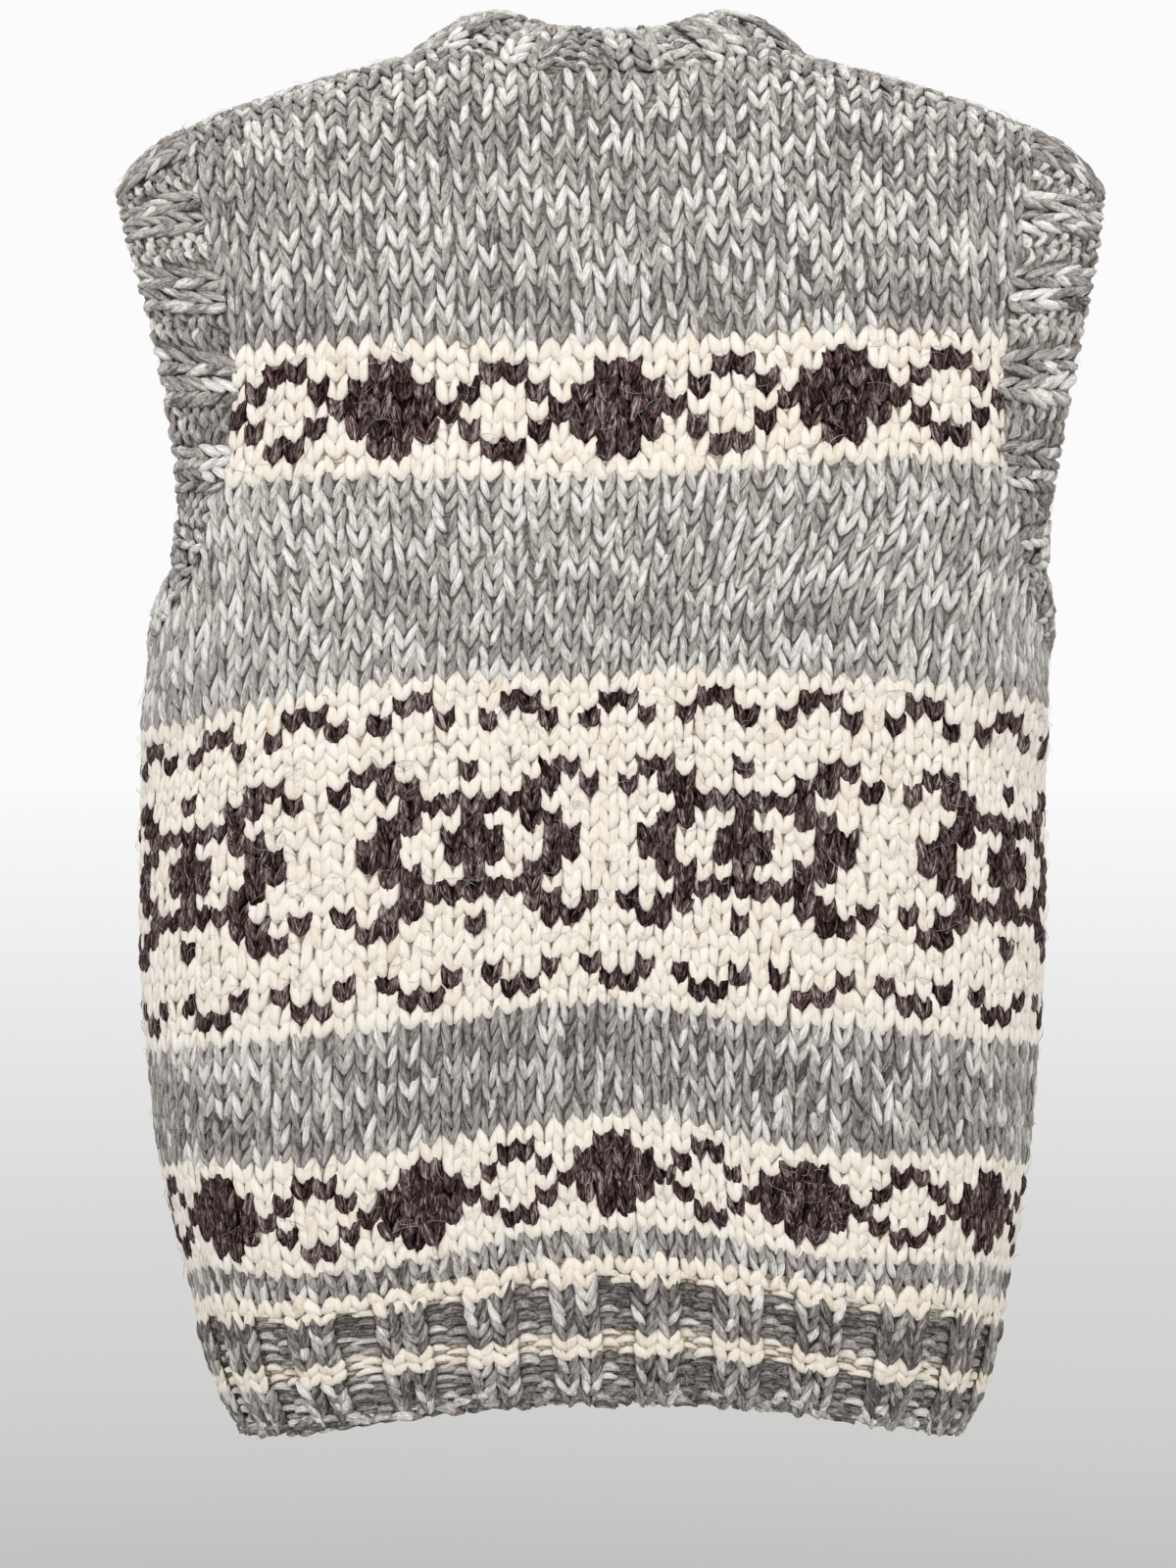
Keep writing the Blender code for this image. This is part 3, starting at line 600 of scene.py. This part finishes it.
def woolMaterial(name):
    finish = woolFinish[name]
    made = bpy.data.materials.new(name)
    made.use_nodes = True
    tree = made.node_tree
    uv = addNode(tree, "ShaderNodeUVMap", {"uv_map": "yarnMap"})[0]
    cloth = addNode(tree, "ShaderNodeTexCoord")["Object"]
    level = addNode(tree, "ShaderNodeAttribute", {"attribute_name": "tint"})["Fac"]
    level = addNode(tree, "ShaderNodeMapRange",
                    {"To Min": 0.5 - finish["tint"] / 2, "To Max": 0.5 + finish["tint"] / 2},
                    {"Value": level})[0]
    # strands and fibres run along the yarn; haze is the felted fleece over several stitches
    layers = []
    for kind, source, scale, turn, detail in (
        ("strands", uv, (4.2, 1.0, 1), 0.35, 1.0),
        ("fibres", uv, (17, 2.6, 1), 0.25, 3.0),
        ("haze", cloth, (620, 620, 330), 0.6, 3.0),
    ):
        place = addNode(tree, "ShaderNodeMapping", {"Scale": scale, "Rotation": (0, turn, turn)},
                        {"Vector": source})[0]
        noise = addNode(tree, "ShaderNodeTexNoise",
                        {"Scale": 1.0, "Detail": detail, "Roughness": 0.62, "Distortion": 0.6},
                        {"Vector": place})[0]
        # noise keeps near the middle of its range, so it is spread before it is weighed
        layers.append(addNode(
            tree, "ShaderNodeMapRange",
            {"From Min": 0.32, "From Max": 0.68, "To Min": -1.0, "To Max": 1.0, "clamp": False},
            {"Value": noise})[0])
        level = addNode(tree, "ShaderNodeMath", {"operation": "MULTIPLY_ADD", 1: finish[kind] / 2},
                        {0: layers[-1], 2: level})[0]
    colour = addNode(tree, "ShaderNodeValToRGB", {"stops": finish["stops"]}, {"Fac": level})[0]
    height = addNode(tree, "ShaderNodeMath", {"operation": "MULTIPLY_ADD", 1: 0.6},
                     {0: layers[0], 2: layers[1]})[0]
    normal = addNode(tree, "ShaderNodeBump", {"Strength": finish["bump"], "Distance": 0.0006},
                     {"Height": height})[0]
    shader = tree.nodes["Principled BSDF"]
    tree.links.new(colour, shader.inputs["Base Color"])
    tree.links.new(normal, shader.inputs["Normal"])
    shader.inputs["Roughness"].default_value = 0.95
    shader.inputs["Specular IOR Level"].default_value = finish["gloss"]
    shader.inputs["Sheen Weight"].default_value = finish["sheen"]
    shader.inputs["Sheen Roughness"].default_value = 0.6
    return made


def groundMaterial():
    # The back of the knitting, under the stitches and on the inside: rows of purl loops in the yarn of each
    # stitch, a loop to a stitch and two to a row.
    # The colour is painted darker between the loops, as shade in their hollows, and the dark yarn's ground
    # is painted darker than that yarn, as shade in the gaps between its stitches.
    made = bpy.data.materials.new("purlSideWool")
    made.use_nodes = True
    tree = made.node_tree
    yarn = addNode(tree, "ShaderNodeAttribute", {"attribute_name": "yarn"})["Color"]
    uv = addNode(tree, "ShaderNodeUVMap", {"uv_map": "stitchMap"})[0]
    gaps = addNode(tree, "ShaderNodeTexBrick",
                   {"Scale": 1.0, "Brick Width": 1.0, "Row Height": 0.5, "Mortar Size": 0.12,
                    "Mortar Smooth": 1.0}, {"Vector": uv})["Fac"]
    fibreMap = addNode(tree, "ShaderNodeMapping", {"Scale": (3, 14, 1)}, {"Vector": uv})[0]
    fibres = addNode(tree, "ShaderNodeTexNoise", {"Scale": 1.0, "Detail": 3.0}, {"Vector": fibreMap})[0]
    loops = addNode(tree, "ShaderNodeMapRange", {"To Min": 1.0, "To Max": 0.0}, {"Value": gaps})[0]
    height = addNode(tree, "ShaderNodeMath", {"operation": "MULTIPLY_ADD", 1: 0.5},
                     {0: fibres, 2: loops})[0]
    shade = addNode(tree, "ShaderNodeMapRange", {"From Min": 0.2, "From Max": 1.3, "To Min": 0.62,
                                                 "To Max": 1.08}, {"Value": height})[0]
    colour = addNode(tree, "ShaderNodeMix", {"data_type": "RGBA", "blend_type": "MULTIPLY", 0: 1.0},
                     {6: yarn, 7: shade})[2]
    normal = addNode(tree, "ShaderNodeBump", {"Strength": 0.9, "Distance": 0.0012}, {"Height": height})[0]
    shader = tree.nodes["Principled BSDF"]
    tree.links.new(colour, shader.inputs["Base Color"])
    tree.links.new(normal, shader.inputs["Normal"])
    shader.inputs["Roughness"].default_value = 0.97
    shader.inputs["Specular IOR Level"].default_value = 0.1
    return made


ground = {
    "sunk": 1.6,  # mm below the solid's outer face
    "thick": 2.8,
    # grey, ecru and dark; the dark one is painted darker than the dark yarn, as shade in the gaps between
    # its stitches
    "colours": ("#A59D96", "#EFDFC8", "#1F1615"),
}


def makeShell(name, surface, a, b, yarn, finish, closed=False):
    # a and b: stitch and row of each point of the grid; yarn: of each face of it
    across, up = a.shape
    bpy.ops.mesh.primitive_grid_add(x_subdivisions=across - 1, y_subdivisions=up - 1, size=2,
                                    calc_uvs=True)
    shell = bpy.context.object
    shell.name = shell.data.name = name
    mesh = shell.data
    place = np.array([v.co[:2] for v in mesh.vertices])
    i = np.round((place[:, 0] + 1) / 2 * (across - 1)).astype(int)
    j = np.round((place[:, 1] + 1) / 2 * (up - 1)).astype(int)
    at, normal = readSurface(surface, *drifted(surface, a[i, j], b[i, j]))
    mesh.vertices.foreach_set("co", ((at - normal * ground["sunk"]) * 0.001).ravel())
    uv = mesh.uv_layers.active
    uv.name = "stitchMap"
    loopAt = np.array([l.vertex_index for l in mesh.loops])
    uv.data.foreach_set("uv", np.stack([a[i, j][loopAt], b[i, j][loopAt]], axis=-1).ravel())
    hues = np.array([hexColour(c) for c in ground["colours"]])
    # the ground's colour by yarn, the dark one painted darker as shade in the gaps
    paint = mesh.attributes.new("yarn", "FLOAT_COLOR", "CORNER")
    cell = np.array([[min(i[v] for v in p.vertices), min(j[v] for v in p.vertices)] for p in mesh.polygons])
    paint.data.foreach_set("color", np.repeat(hues[yarn[cell[:, 0], cell[:, 1]]], 4, axis=0).ravel())
    bpy.ops.object.mode_set(mode="EDIT")
    bpy.ops.mesh.select_all(action="SELECT")
    if closed:
        bpy.ops.mesh.remove_doubles(threshold=0.00005)
    if surface["hand"] < 0:
        bpy.ops.mesh.flip_normals()
    bpy.ops.object.mode_set(mode="OBJECT")
    wall = shell.modifiers.new("wall", "SOLIDIFY")
    wall.thickness, wall.offset = ground["thick"] * 0.001, -1
    bpy.ops.object.modifier_apply(modifier="wall")
    mesh.shade_smooth()
    mesh.materials.append(finish)
    shell.select_set(False)
    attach(shell, "root")
    return shell


surfaces = {"back": panelSurface(back), "front": panelSurface(front)}


def armEdge(panel, side, way):
    wale, course = surfaces[panel]["edgeLine"]
    return (surfaces[panel], side * wale[::way], course[::way], (-side * bands["pickedUp"], 0))


def neckEdge(panel, side, way):
    wale = side * np.linspace(0, form["neckWales"], 25)[::way]
    return (surfaces[panel], wale, surfaces[panel]["top"](wale), (0, -bands["pickedUp"]))


for name, side in (("armLeft", 1), ("armRight", -1)):
    surfaces[name] = bandSurface([armEdge("back", side, 1)], [armEdge("front", side, -1)],
                                 lambda shares: armRim(side, shares), bands["armRibs"])
surfaces["neck"] = bandSurface([neckEdge("back", 1, 1), neckEdge("front", 1, -1)],
                               [neckEdge("front", -1, 1), neckEdge("back", -1, -1)],
                               neckRim, bands["neckRibs"])
print("surfaces done")

slimLeg, fullLeg = makeLobe("slimLeg"), makeLobe("fullLeg")
purlBump = makeLobe("purlBump", crosswise=True)
fibreShapes = (makeLobe("loop", sides=3), makeLobe("wisp", sides=3))
wools = [woolMaterial(n) for n in ("greyMarlWool", "ecruWool", "darkWool")]
woolNames = ("grey", "ecru", "dark")
groundWool = groundMaterial()

stitches = {
    "sideways": 0.05, "lengthways": 0.07, "size": 0.10, "turn": 0.07,  # how far they vary
    "knitShare": 0.57,  # of a rib, for its knit pair
    # legs keep their length in mm where the rows are closer together
    "length": ((0, 12, 30, 48, 60, 70), (1.45, 1.2, 1.12, 1.08, 1.02, 0.98)),
    # the marl's runs along the yarn: how pale, how often, and how many legs in a run
    "paleness": (1.0, 0.82, 0.47, 0.39, 0.30),
    "often": (0.22, 0.08, 0.33, 0.27, 0.10),
    "run": 2.0,
    "slow": 0.09, "slowRun": 26,  # how much paler or darker lengths of this many legs are
    "supply": 9000,  # runs of yarn drawn for a piece
    "rowStep": 131,  # legs of yarn from one row to the next
    "patches": 40,  # of 5 stitches by 4 rows, each a little paler or darker
    "floatLift": 1.2, "purlLift": 0.3,  # mm
    # rows up to this one, and how much paler the grey is there: partly the yarn's own tone, and partly
    # painted shade, darker low on the body where the cloth turns down from the light
    "zones": ((28, -0.07), (60, 0.13), (100, 0.0)),
    # the hem rib is darker: partly the yarn's own tone, and partly painted shade low on the body
    "hemShade": {grey: -0.34, ecru: -0.33},
    "bandShade": {grey: -0.07},
    "relief": {grey: 1.0, ecru: 0.85, dark: 1.25},
}


def woolTint(kind, stitch, row, flip, shade=0.0):
    # How pale each leg is.
    count = len(stitch)
    if kind == dark:
        return dice.random(count)
    if kind == ecru:
        return np.clip(0.62 + shade + dice.normal(0, 0.17, count), 0, 1)
    supply, slowRun, patches = stitches["supply"], stitches["slowRun"], stitches["patches"]
    yarn = np.repeat(dice.choice(stitches["paleness"], supply, p=stitches["often"]),
                     dice.geometric(1 / stitches["run"], supply))
    slow = dice.normal(0, stitches["slow"], len(yarn) // slowRun + 1)
    yarn += np.repeat(slow, slowRun)[: len(yarn)]
    place = (row.astype(int) * stitches["rowStep"] + stitch * 2 + (flip > 0)).astype(int) % len(yarn)
    patch = dice.normal(0, 0.06, (patches, patches))
    near = patch[(stitch // 5).astype(int) % patches, (row // 4).astype(int) % patches]
    return np.clip(yarn[place] + near + shade + dice.normal(0, 0.06, count), 0, 1)


def legRows(kind, stitch, row, at, width=1.0, lift=0.0, long=1.0, shade=0.0):
    # Two legs for each knit stitch, which stands at this place on the surface.
    made = []
    n = len(stitch)
    for flip in (1.0, -1.0):
        made.append(placesOf(
            n, stitch=at + dice.normal(0, stitches["sideways"], n),
            row=row + dice.normal(0, stitches["lengthways"], n), flip=flip,
            turn=dice.normal(0, stitches["turn"], n), lift=lift + dice.normal(0, 0.22, n),
            wide=width * (1 + dice.normal(0, stitches["size"] * 0.6, n)),
            long=long * (1 + dice.normal(0, stitches["size"], n)),
            thick=stitches["relief"][kind] * (1 + dice.normal(0, stitches["size"], n)),
            tint=woolTint(kind, stitch, row, np.full(n, flip), shade)))
    return np.concatenate(made)


def loopRows(kind, stitch, row, at, width, lift, loops, shade):
    # The loops of each purl stitch: one fat one, or two slim ones where the rows are far apart.
    made = []
    n = len(stitch)
    for k in range(loops):
        up = 0.3 + 0.5 * ((stitch + k) % 2)
        made.append(placesOf(
            n, stitch=at + 0.4 * k * width + dice.normal(0, 0.10, n),
            row=row + up + dice.normal(0, 0.08, n), turn=dice.normal(0, 0.10 + 0.15 * (loops > 1), n),
            lift=lift + dice.normal(0, 0.3, n),
            wide=(1.3 if loops == 1 else 0.95) * width * (1 + dice.normal(0, 0.15, n)),
            long=(1.4 if loops == 1 else 0.9) * (1 + dice.normal(0, 0.15, n)),
            thick=1 + dice.normal(0, 0.12, n), tint=woolTint(kind, stitch, row, np.full(n, k), shade)))
    return np.concatenate(made)


def finished(piece):
    return piece


def panelStitches(name):
    surface = surfaces[name]
    half = int(form["halfWales"])
    stitch, row = (part.ravel() for part in np.meshgrid(
        np.arange(-half, half), np.arange(form["ribTop"], form["topRow"]), indexing="ij"))
    trueStitch, trueRow = drifted(surface, stitch + 0.5, row + 0.5)
    keep = trueRow - 0.15 < surface["top"](trueStitch)
    keep &= (trueRow < form["underarm"]) | (np.abs(trueStitch) - 0.2 < surface["edge"](trueRow))
    stitch, row = stitch[keep], row[keep]
    yarn = yarnOf(stitch, row)
    made = []
    for kind in (grey, ecru, dark):
        pick = yarn == kind
        last, shade = zip(*stitches["zones"])
        shade = np.array(shade)[np.searchsorted(last, row[pick], side="right")] * (kind == grey)
        places = legRows(kind, stitch[pick], row[pick], stitch[pick] + 0.5,
                         long=np.interp(row[pick], *stitches["length"]), shade=shade)
        made.append(finished(copyLobes(
            f"{name}_{woolNames[kind]}_stitches", slimLeg if kind == grey else fullLeg, surface,
            places, wools[kind], rough=1.0)))
    return made


def panelShell(name, node):
    surface = surfaces[name]
    share = np.linspace(-1, 1, 57)
    underarm, topRow = int(form["underarm"]), form["topRow"]
    rows = list(range(form["ribTop"], underarm + 1)) + list(np.linspace(underarm + 1, topRow, 34))
    a = np.zeros((57, len(rows)))
    b = np.zeros_like(a)
    for j, row in enumerate(rows):
        if row <= underarm:
            a[:, j], b[:, j] = share * form["halfWales"], row
        else:
            rise = (row - underarm) / (topRow - underarm)
            wide = lookUp(form["armholeEdge"], "rise", "wales", rise)
            a[:, j] = share * wide
            b[:, j] = underarm + rise * (surface["top"](share * wide) - underarm)
    yarn = yarnOf(np.floor((a[:-1, :-1] + a[1:, :-1]) / 2).astype(int),
                  np.floor((b[:-1, :-1] + b[:-1, 1:]) / 2).astype(int))
    return makeShell(node, surface, a, b, yarn, groundWool)


def ribPlace(number):
    # Where stitch `number` of knit 2, purl 2 stands when the knit pair spreads and the purl
    # pair closes up; the knit pair is numbers 0 and 1 of each 4.
    share = stitches["knitShare"]
    group, k = np.divmod(number, 4)
    middle = np.where(k < 2, (k + 0.5) * 2 * share, 4 * share + (k - 1.5) * 2 * (1 - share))
    width = np.where(k < 2, 2 * share, 2 * (1 - share))
    return group * 4 + middle, width, k < 2


def ribStitches(name, surface, place, width, knit, rows, yarn, wale, liftOf, long, loops, shades,
                plainTop=False):
    # place, width, knit: of each stitch along the rib; wale: its place on the surface; the last
    # row is knitted all along where plainTop is set
    s, k = (part.ravel() for part in np.meshgrid(
        np.arange(len(place)), np.arange(len(rows)), indexing="ij"))
    r = rows[k]
    knitted = knit[s] | (plainTop & (k == len(rows) - 1))
    made = []
    for kind in (grey, ecru):
        for wanted in (True, False):
            pick = (yarn[k] == kind) & (knitted == wanted)
            if not pick.any():
                continue
            args = (kind, np.round(place[s[pick]]), r[pick], wale[s[pick]], width[s[pick]])
            if wanted:
                lift = np.where(knit[s[pick]], liftOf(r[pick]) * bands["ribHeight"],
                                stitches["floatLift"])
                places = legRows(*args, lift=lift, long=long if kind == grey else 1.1,
                                 shade=shades[kind])
                lobe, word = slimLeg if kind == grey else fullLeg, "knit"
            else:
                places = loopRows(*args, stitches["purlLift"], loops, shades[kind] + 0.05)
                lobe, word = purlBump, "purl"
            made.append(finished(copyLobes(f"{name}_{woolNames[kind]}_{word}", lobe, surface, places,
                                           wools[kind], rough=1.2)))
    return made


def hemStitches(name, panel):
    # 100 stitches all round, counted so that the knit pairs stand where the solids have them
    place, width, knit = ribPlace(np.arange(-2, 52))
    place = place - 2 * stitches["knitShare"] + (2.5 if panel == back else 0.5)
    inside = (place > 0) & (place < 50)
    place, width, knit = place[inside], width[inside], knit[inside]
    wale = (place / 50 * 2 - 1) * 28 * panel
    yarn = yarnOf(np.zeros(12, int), np.arange(12))
    return ribStitches(name, surfaces["back" if panel == back else "front"], place, width * 56 / 50, knit,
                       np.arange(12.0), yarn, wale,
                       lambda r: np.interp(r, (0, 3, 9, 11), (0.5, 1, 1, 0.5)), 1.35, 1,
                       stitches["hemShade"], plainTop=True)


def hemShell(name, panel):
    surface = surfaces["back" if panel == back else "front"]
    a, b = np.meshgrid(np.linspace(-28, 28, 51), np.linspace(0.0, 12.0, 13), indexing="ij")
    yarn = yarnOf(np.zeros((50, 12), int), np.broadcast_to(np.arange(12), (50, 12)))
    return makeShell(name, surface, a, b, yarn, groundWool)


def bandStitches(name, surface, ribs):
    place, width, knit = ribPlace(np.arange(ribs * 4))
    place = place - 2 * stitches["knitShare"] - (0.9 if surface is surfaces["neck"] else 0.5)
    rows = np.linspace(-0.1, bands["rows"] - 1, bands["rows"] + 1)
    return ribStitches(name, surface, place, width, knit, rows, np.zeros(len(rows), int), place,
                       lambda r: np.interp(r, (-0.1, 0.8, 3, 4), (0.4, 0.9, 0.9, 0.5)), 1.05, 2,
                       stitches["bandShade"])


def bandShell(name, surface, ribs):
    count = ribs * 4
    a, b = np.meshgrid(np.arange(count + 1.0), np.linspace(-0.2, bands["rows"], 9), indexing="ij")
    return makeShell(name, surface, a, b, np.zeros((count, 8), int), groundWool, closed=True)


castOn = {
    # row, mm of lift, rows of sag
    "chains": ((-0.25, -1.5, 0.75), (0.05, 0.3, 0.55), (0.45, 0.4, 0.3)),
    "sagPlace": 12.5, "sagWidth": 7.5,  # in stitches; the edge is slacker there
    "loops": {"pitch": 1.2, "thick": 2.1, "long": 1.75, "loose": 3.0},
    "fuzz": 1.6,  # times the stray fibres that the panels have
}


def edgeChain(name, surface, first, last, row, lift, pitch=1.0, thick=1.25, long=1.0, shade=0.0,
              loose=1.0, sag=0.0):
    # The chain of loops along a cast-on or bound-off edge.
    at = np.arange(first, last, pitch) + pitch / 2
    n = len(at)
    row = row - sag * np.exp(-((at - castOn["sagPlace"]) / castOn["sagWidth"]) ** 2)
    places = placesOf(n, stitch=at, row=row + dice.normal(0, 0.04 * loose, n),
                      turn=dice.normal(0, 0.12 * loose, n), lift=lift + dice.normal(0, 0.2 * loose, n),
                      wide=pitch * 1.1, long=long, thick=thick * dice.uniform(1 - 0.08 * loose, 1, n),
                      tint=woolTint(grey, at, np.full(n, 2), np.ones(n), shade))
    return finished(copyLobes(name, purlBump, surface, places, wools[grey], rough=0.7))


fuzz = {
    "area": 0.8,  # stray fibres for each stitch of the cloth
    "length": (0.45, 1.5),
    "rise": (0.15, 1.25),
}


def strayFibres(name, surface, a, b):
    # Loose ends of fleece that stand off the cloth at (a, b).
    made = []
    for shape, share in zip(fibreShapes, (0.6, 0.4)):
        pick = dice.random(len(a)) < share
        n = int(pick.sum())
        places = placesOf(
            n, stitch=a[pick], row=b[pick], flip=np.where(dice.random(n) < 0.5, 1.0, -1.0),
            turn=dice.uniform(0, 2 * math.pi, n), wide=dice.uniform(0.3, 1.5, n),
            long=dice.uniform(*fuzz["length"], n), thick=dice.uniform(*fuzz["rise"], n), lift=0.9,
            tint=np.clip(dice.normal(0.75, 0.2, n), 0, 1))
        made.append((places, shape))
    return [finished(copyLobes(f"{name}_stray_fibres_{k}", shape, surface, places, wools[grey]))
            for k, (places, shape) in enumerate(made)]


def fibresOver(name, surface, first, last, low, high, more=1.0):
    # Spread over the part of the surface between these stitches and rows.
    count = int(fuzz["area"] * more * (last - first) * (high - low))
    a, b = dice.uniform(first, last, count), dice.uniform(low, high, count)
    if "top" in surface:
        keep = (b < surface["top"](a) - 0.3) & (np.abs(a) < surface["edge"](b) - 0.3)
        a, b = a[keep], b[keep]
    return strayFibres(name, surface, a, b)


def dress(node, shell, pieces):
    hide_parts(node)
    sizes = [len(p.data.loops) - 2 * len(p.data.polygons) for p in (shell, *pieces)]
    print(node, sum(sizes), "triangles, the largest piece", max(sizes))


# Flat sizes are metres along the modelled cloth; areas leave out armholes, neck and mitres.
for node, flat, area in (("back", (0.51, 0.62), 0.2525), ("front", (0.52, 0.62), 0.238)):
    surface = surfaces[node]
    pieces = panelStitches(node)
    pieces += fibresOver(node, surface, -27.5, 27.5, form["ribTop"] + 0.5, form["topRow"])
    dress(node, panelShell(node, f"{node}_ground"), pieces)
for node, panel, flat in (
    ("hem_rib_back", back, (0.433, 0.062)), ("hem_rib_front", front, (0.442, 0.062)),
):
    surface = surfaces["back" if panel == back else "front"]
    pieces = hemStitches(node, panel)
    pieces += fibresOver(node, surface, -27.5, 27.5, -0.5, 11.5, more=castOn["fuzz"])
    for k, (row, lift, sag) in enumerate(castOn["chains"]):
        pieces.append(edgeChain(f"{node}_cast_on_{k}", surface, -28 + k * 0.4, 28, row, lift,
                                sag=sag, shade=stitches["hemShade"][grey], **castOn["loops"]))
    dress(node, hemShell(f"{node}_ground", panel), pieces)
for node, key, ribs, flat, area in (
    ("armhole_band_left", "armLeft", bands["armRibs"], (0.53, 0.038), None),
    ("armhole_band_right", "armRight", bands["armRibs"], (0.525, 0.038), None),
    ("neck_band", "neck", bands["neckRibs"], (0.725, 0.035), 0.023),
):
    surface = surfaces[key]
    pieces = bandStitches(node, surface, ribs) + fibresOver(node, surface, 0, ribs * 4, 0, bands["rows"])
    pieces.append(edgeChain(f"{node}_bind_off", surface, 0, ribs * 4, bands["rows"] - 0.05, -1.9,
                            thick=1.6, long=1.25))
    dress(node, bandShell(f"{node}_ground", surface, ribs), pieces)

room = {
    "floorHeight": -1.05,
    # the near floor's grey is painted shade: the floor is coloured darker towards the object
    "shadedNearFloor": "#B5B5B4", "farFloor": "#FEFEFE",  # matt paper, greyer by the object
    "fade": 1.85,  # metres to where it is halfway
    "sky": "#FFFFFF", "skyStrength": 0.965,
}

bpy.ops.mesh.primitive_grid_add(x_subdivisions=8, y_subdivisions=8, size=600,
                                location=(0, 0, room["floorHeight"]))
floor = bpy.context.object
floor.name = "studio_floor"
floor.select_set(False)
paper = bpy.data.materials.new("mattPaper")
paper.use_nodes = True
tree = paper.node_tree
place = addNode(tree, "ShaderNodeTexCoord")["Object"]
away = addNode(tree, "ShaderNodeVectorMath", {"operation": "LENGTH"}, {0: place})["Value"]
away = addNode(tree, "ShaderNodeMath", {"operation": "ADD", 1: room["fade"]}, {0: away})[0]
nearness = addNode(tree, "ShaderNodeMath", {"operation": "DIVIDE", 0: room["fade"]}, {1: away})[0]
nearness = addNode(tree, "ShaderNodeMapRange", {"From Max": 0.5}, {"Value": nearness})[0]
# grey near the object, white far off: painted shade on the floor
shade = addNode(tree, "ShaderNodeMix", {"data_type": "RGBA", 6: hexColour(room["farFloor"]),
                                        7: hexColour(room["shadedNearFloor"])}, {0: nearness})[2]
tree.links.new(shade, tree.nodes["Principled BSDF"].inputs["Base Color"])
tree.nodes["Principled BSDF"].inputs["Roughness"].default_value = 0.95
tree.nodes["Principled BSDF"].inputs["Specular IOR Level"].default_value = 0.0
floor.data.materials.append(paper)

world = bpy.data.worlds.new("studio")
bpy.context.scene.world = world
world.use_nodes = True
world.node_tree.nodes["Background"].inputs["Color"].default_value = hexColour(room["sky"])
world.node_tree.nodes["Background"].inputs["Strength"].default_value = room["skyStrength"]

lamps = (
    # name, place, size, watts
    ("key", (1.5, 2.4, 2.0), 1.2, 30),
    ("fill", (-0.9, 3.2, 0.5), 2.4, 34),
    ("rim", (-0.4, -2.4, 1.6), 1.6, 10),
)
for name, place, size, watts in lamps:
    light = bpy.data.lights.new(name, "AREA")
    light.size, light.energy = size, watts
    lamp = bpy.data.objects.new(name, light)
    bpy.context.collection.objects.link(lamp)
    lamp.location = place
    aim = -np.array(place) + np.array((0, 0, -0.3))
    lamp.rotation_euler = (math.atan2(math.hypot(aim[0], aim[1]), -aim[2]), 0,
                           math.atan2(aim[1], aim[0]) - math.pi / 2)

bpy.context.scene.view_settings.view_transform = "Standard"
view = bpy.data.cameras.new("camera")
view.lens, view.sensor_width = camera["lens"], 36
view.clip_end = 1000
seat = bpy.data.objects.new("camera", view)
bpy.context.collection.objects.link(seat)
seat.location = camera["place"]
seat.rotation_euler = [math.radians(t) for t in camera["turn"]]
bpy.context.scene.camera = seat
print("room done")
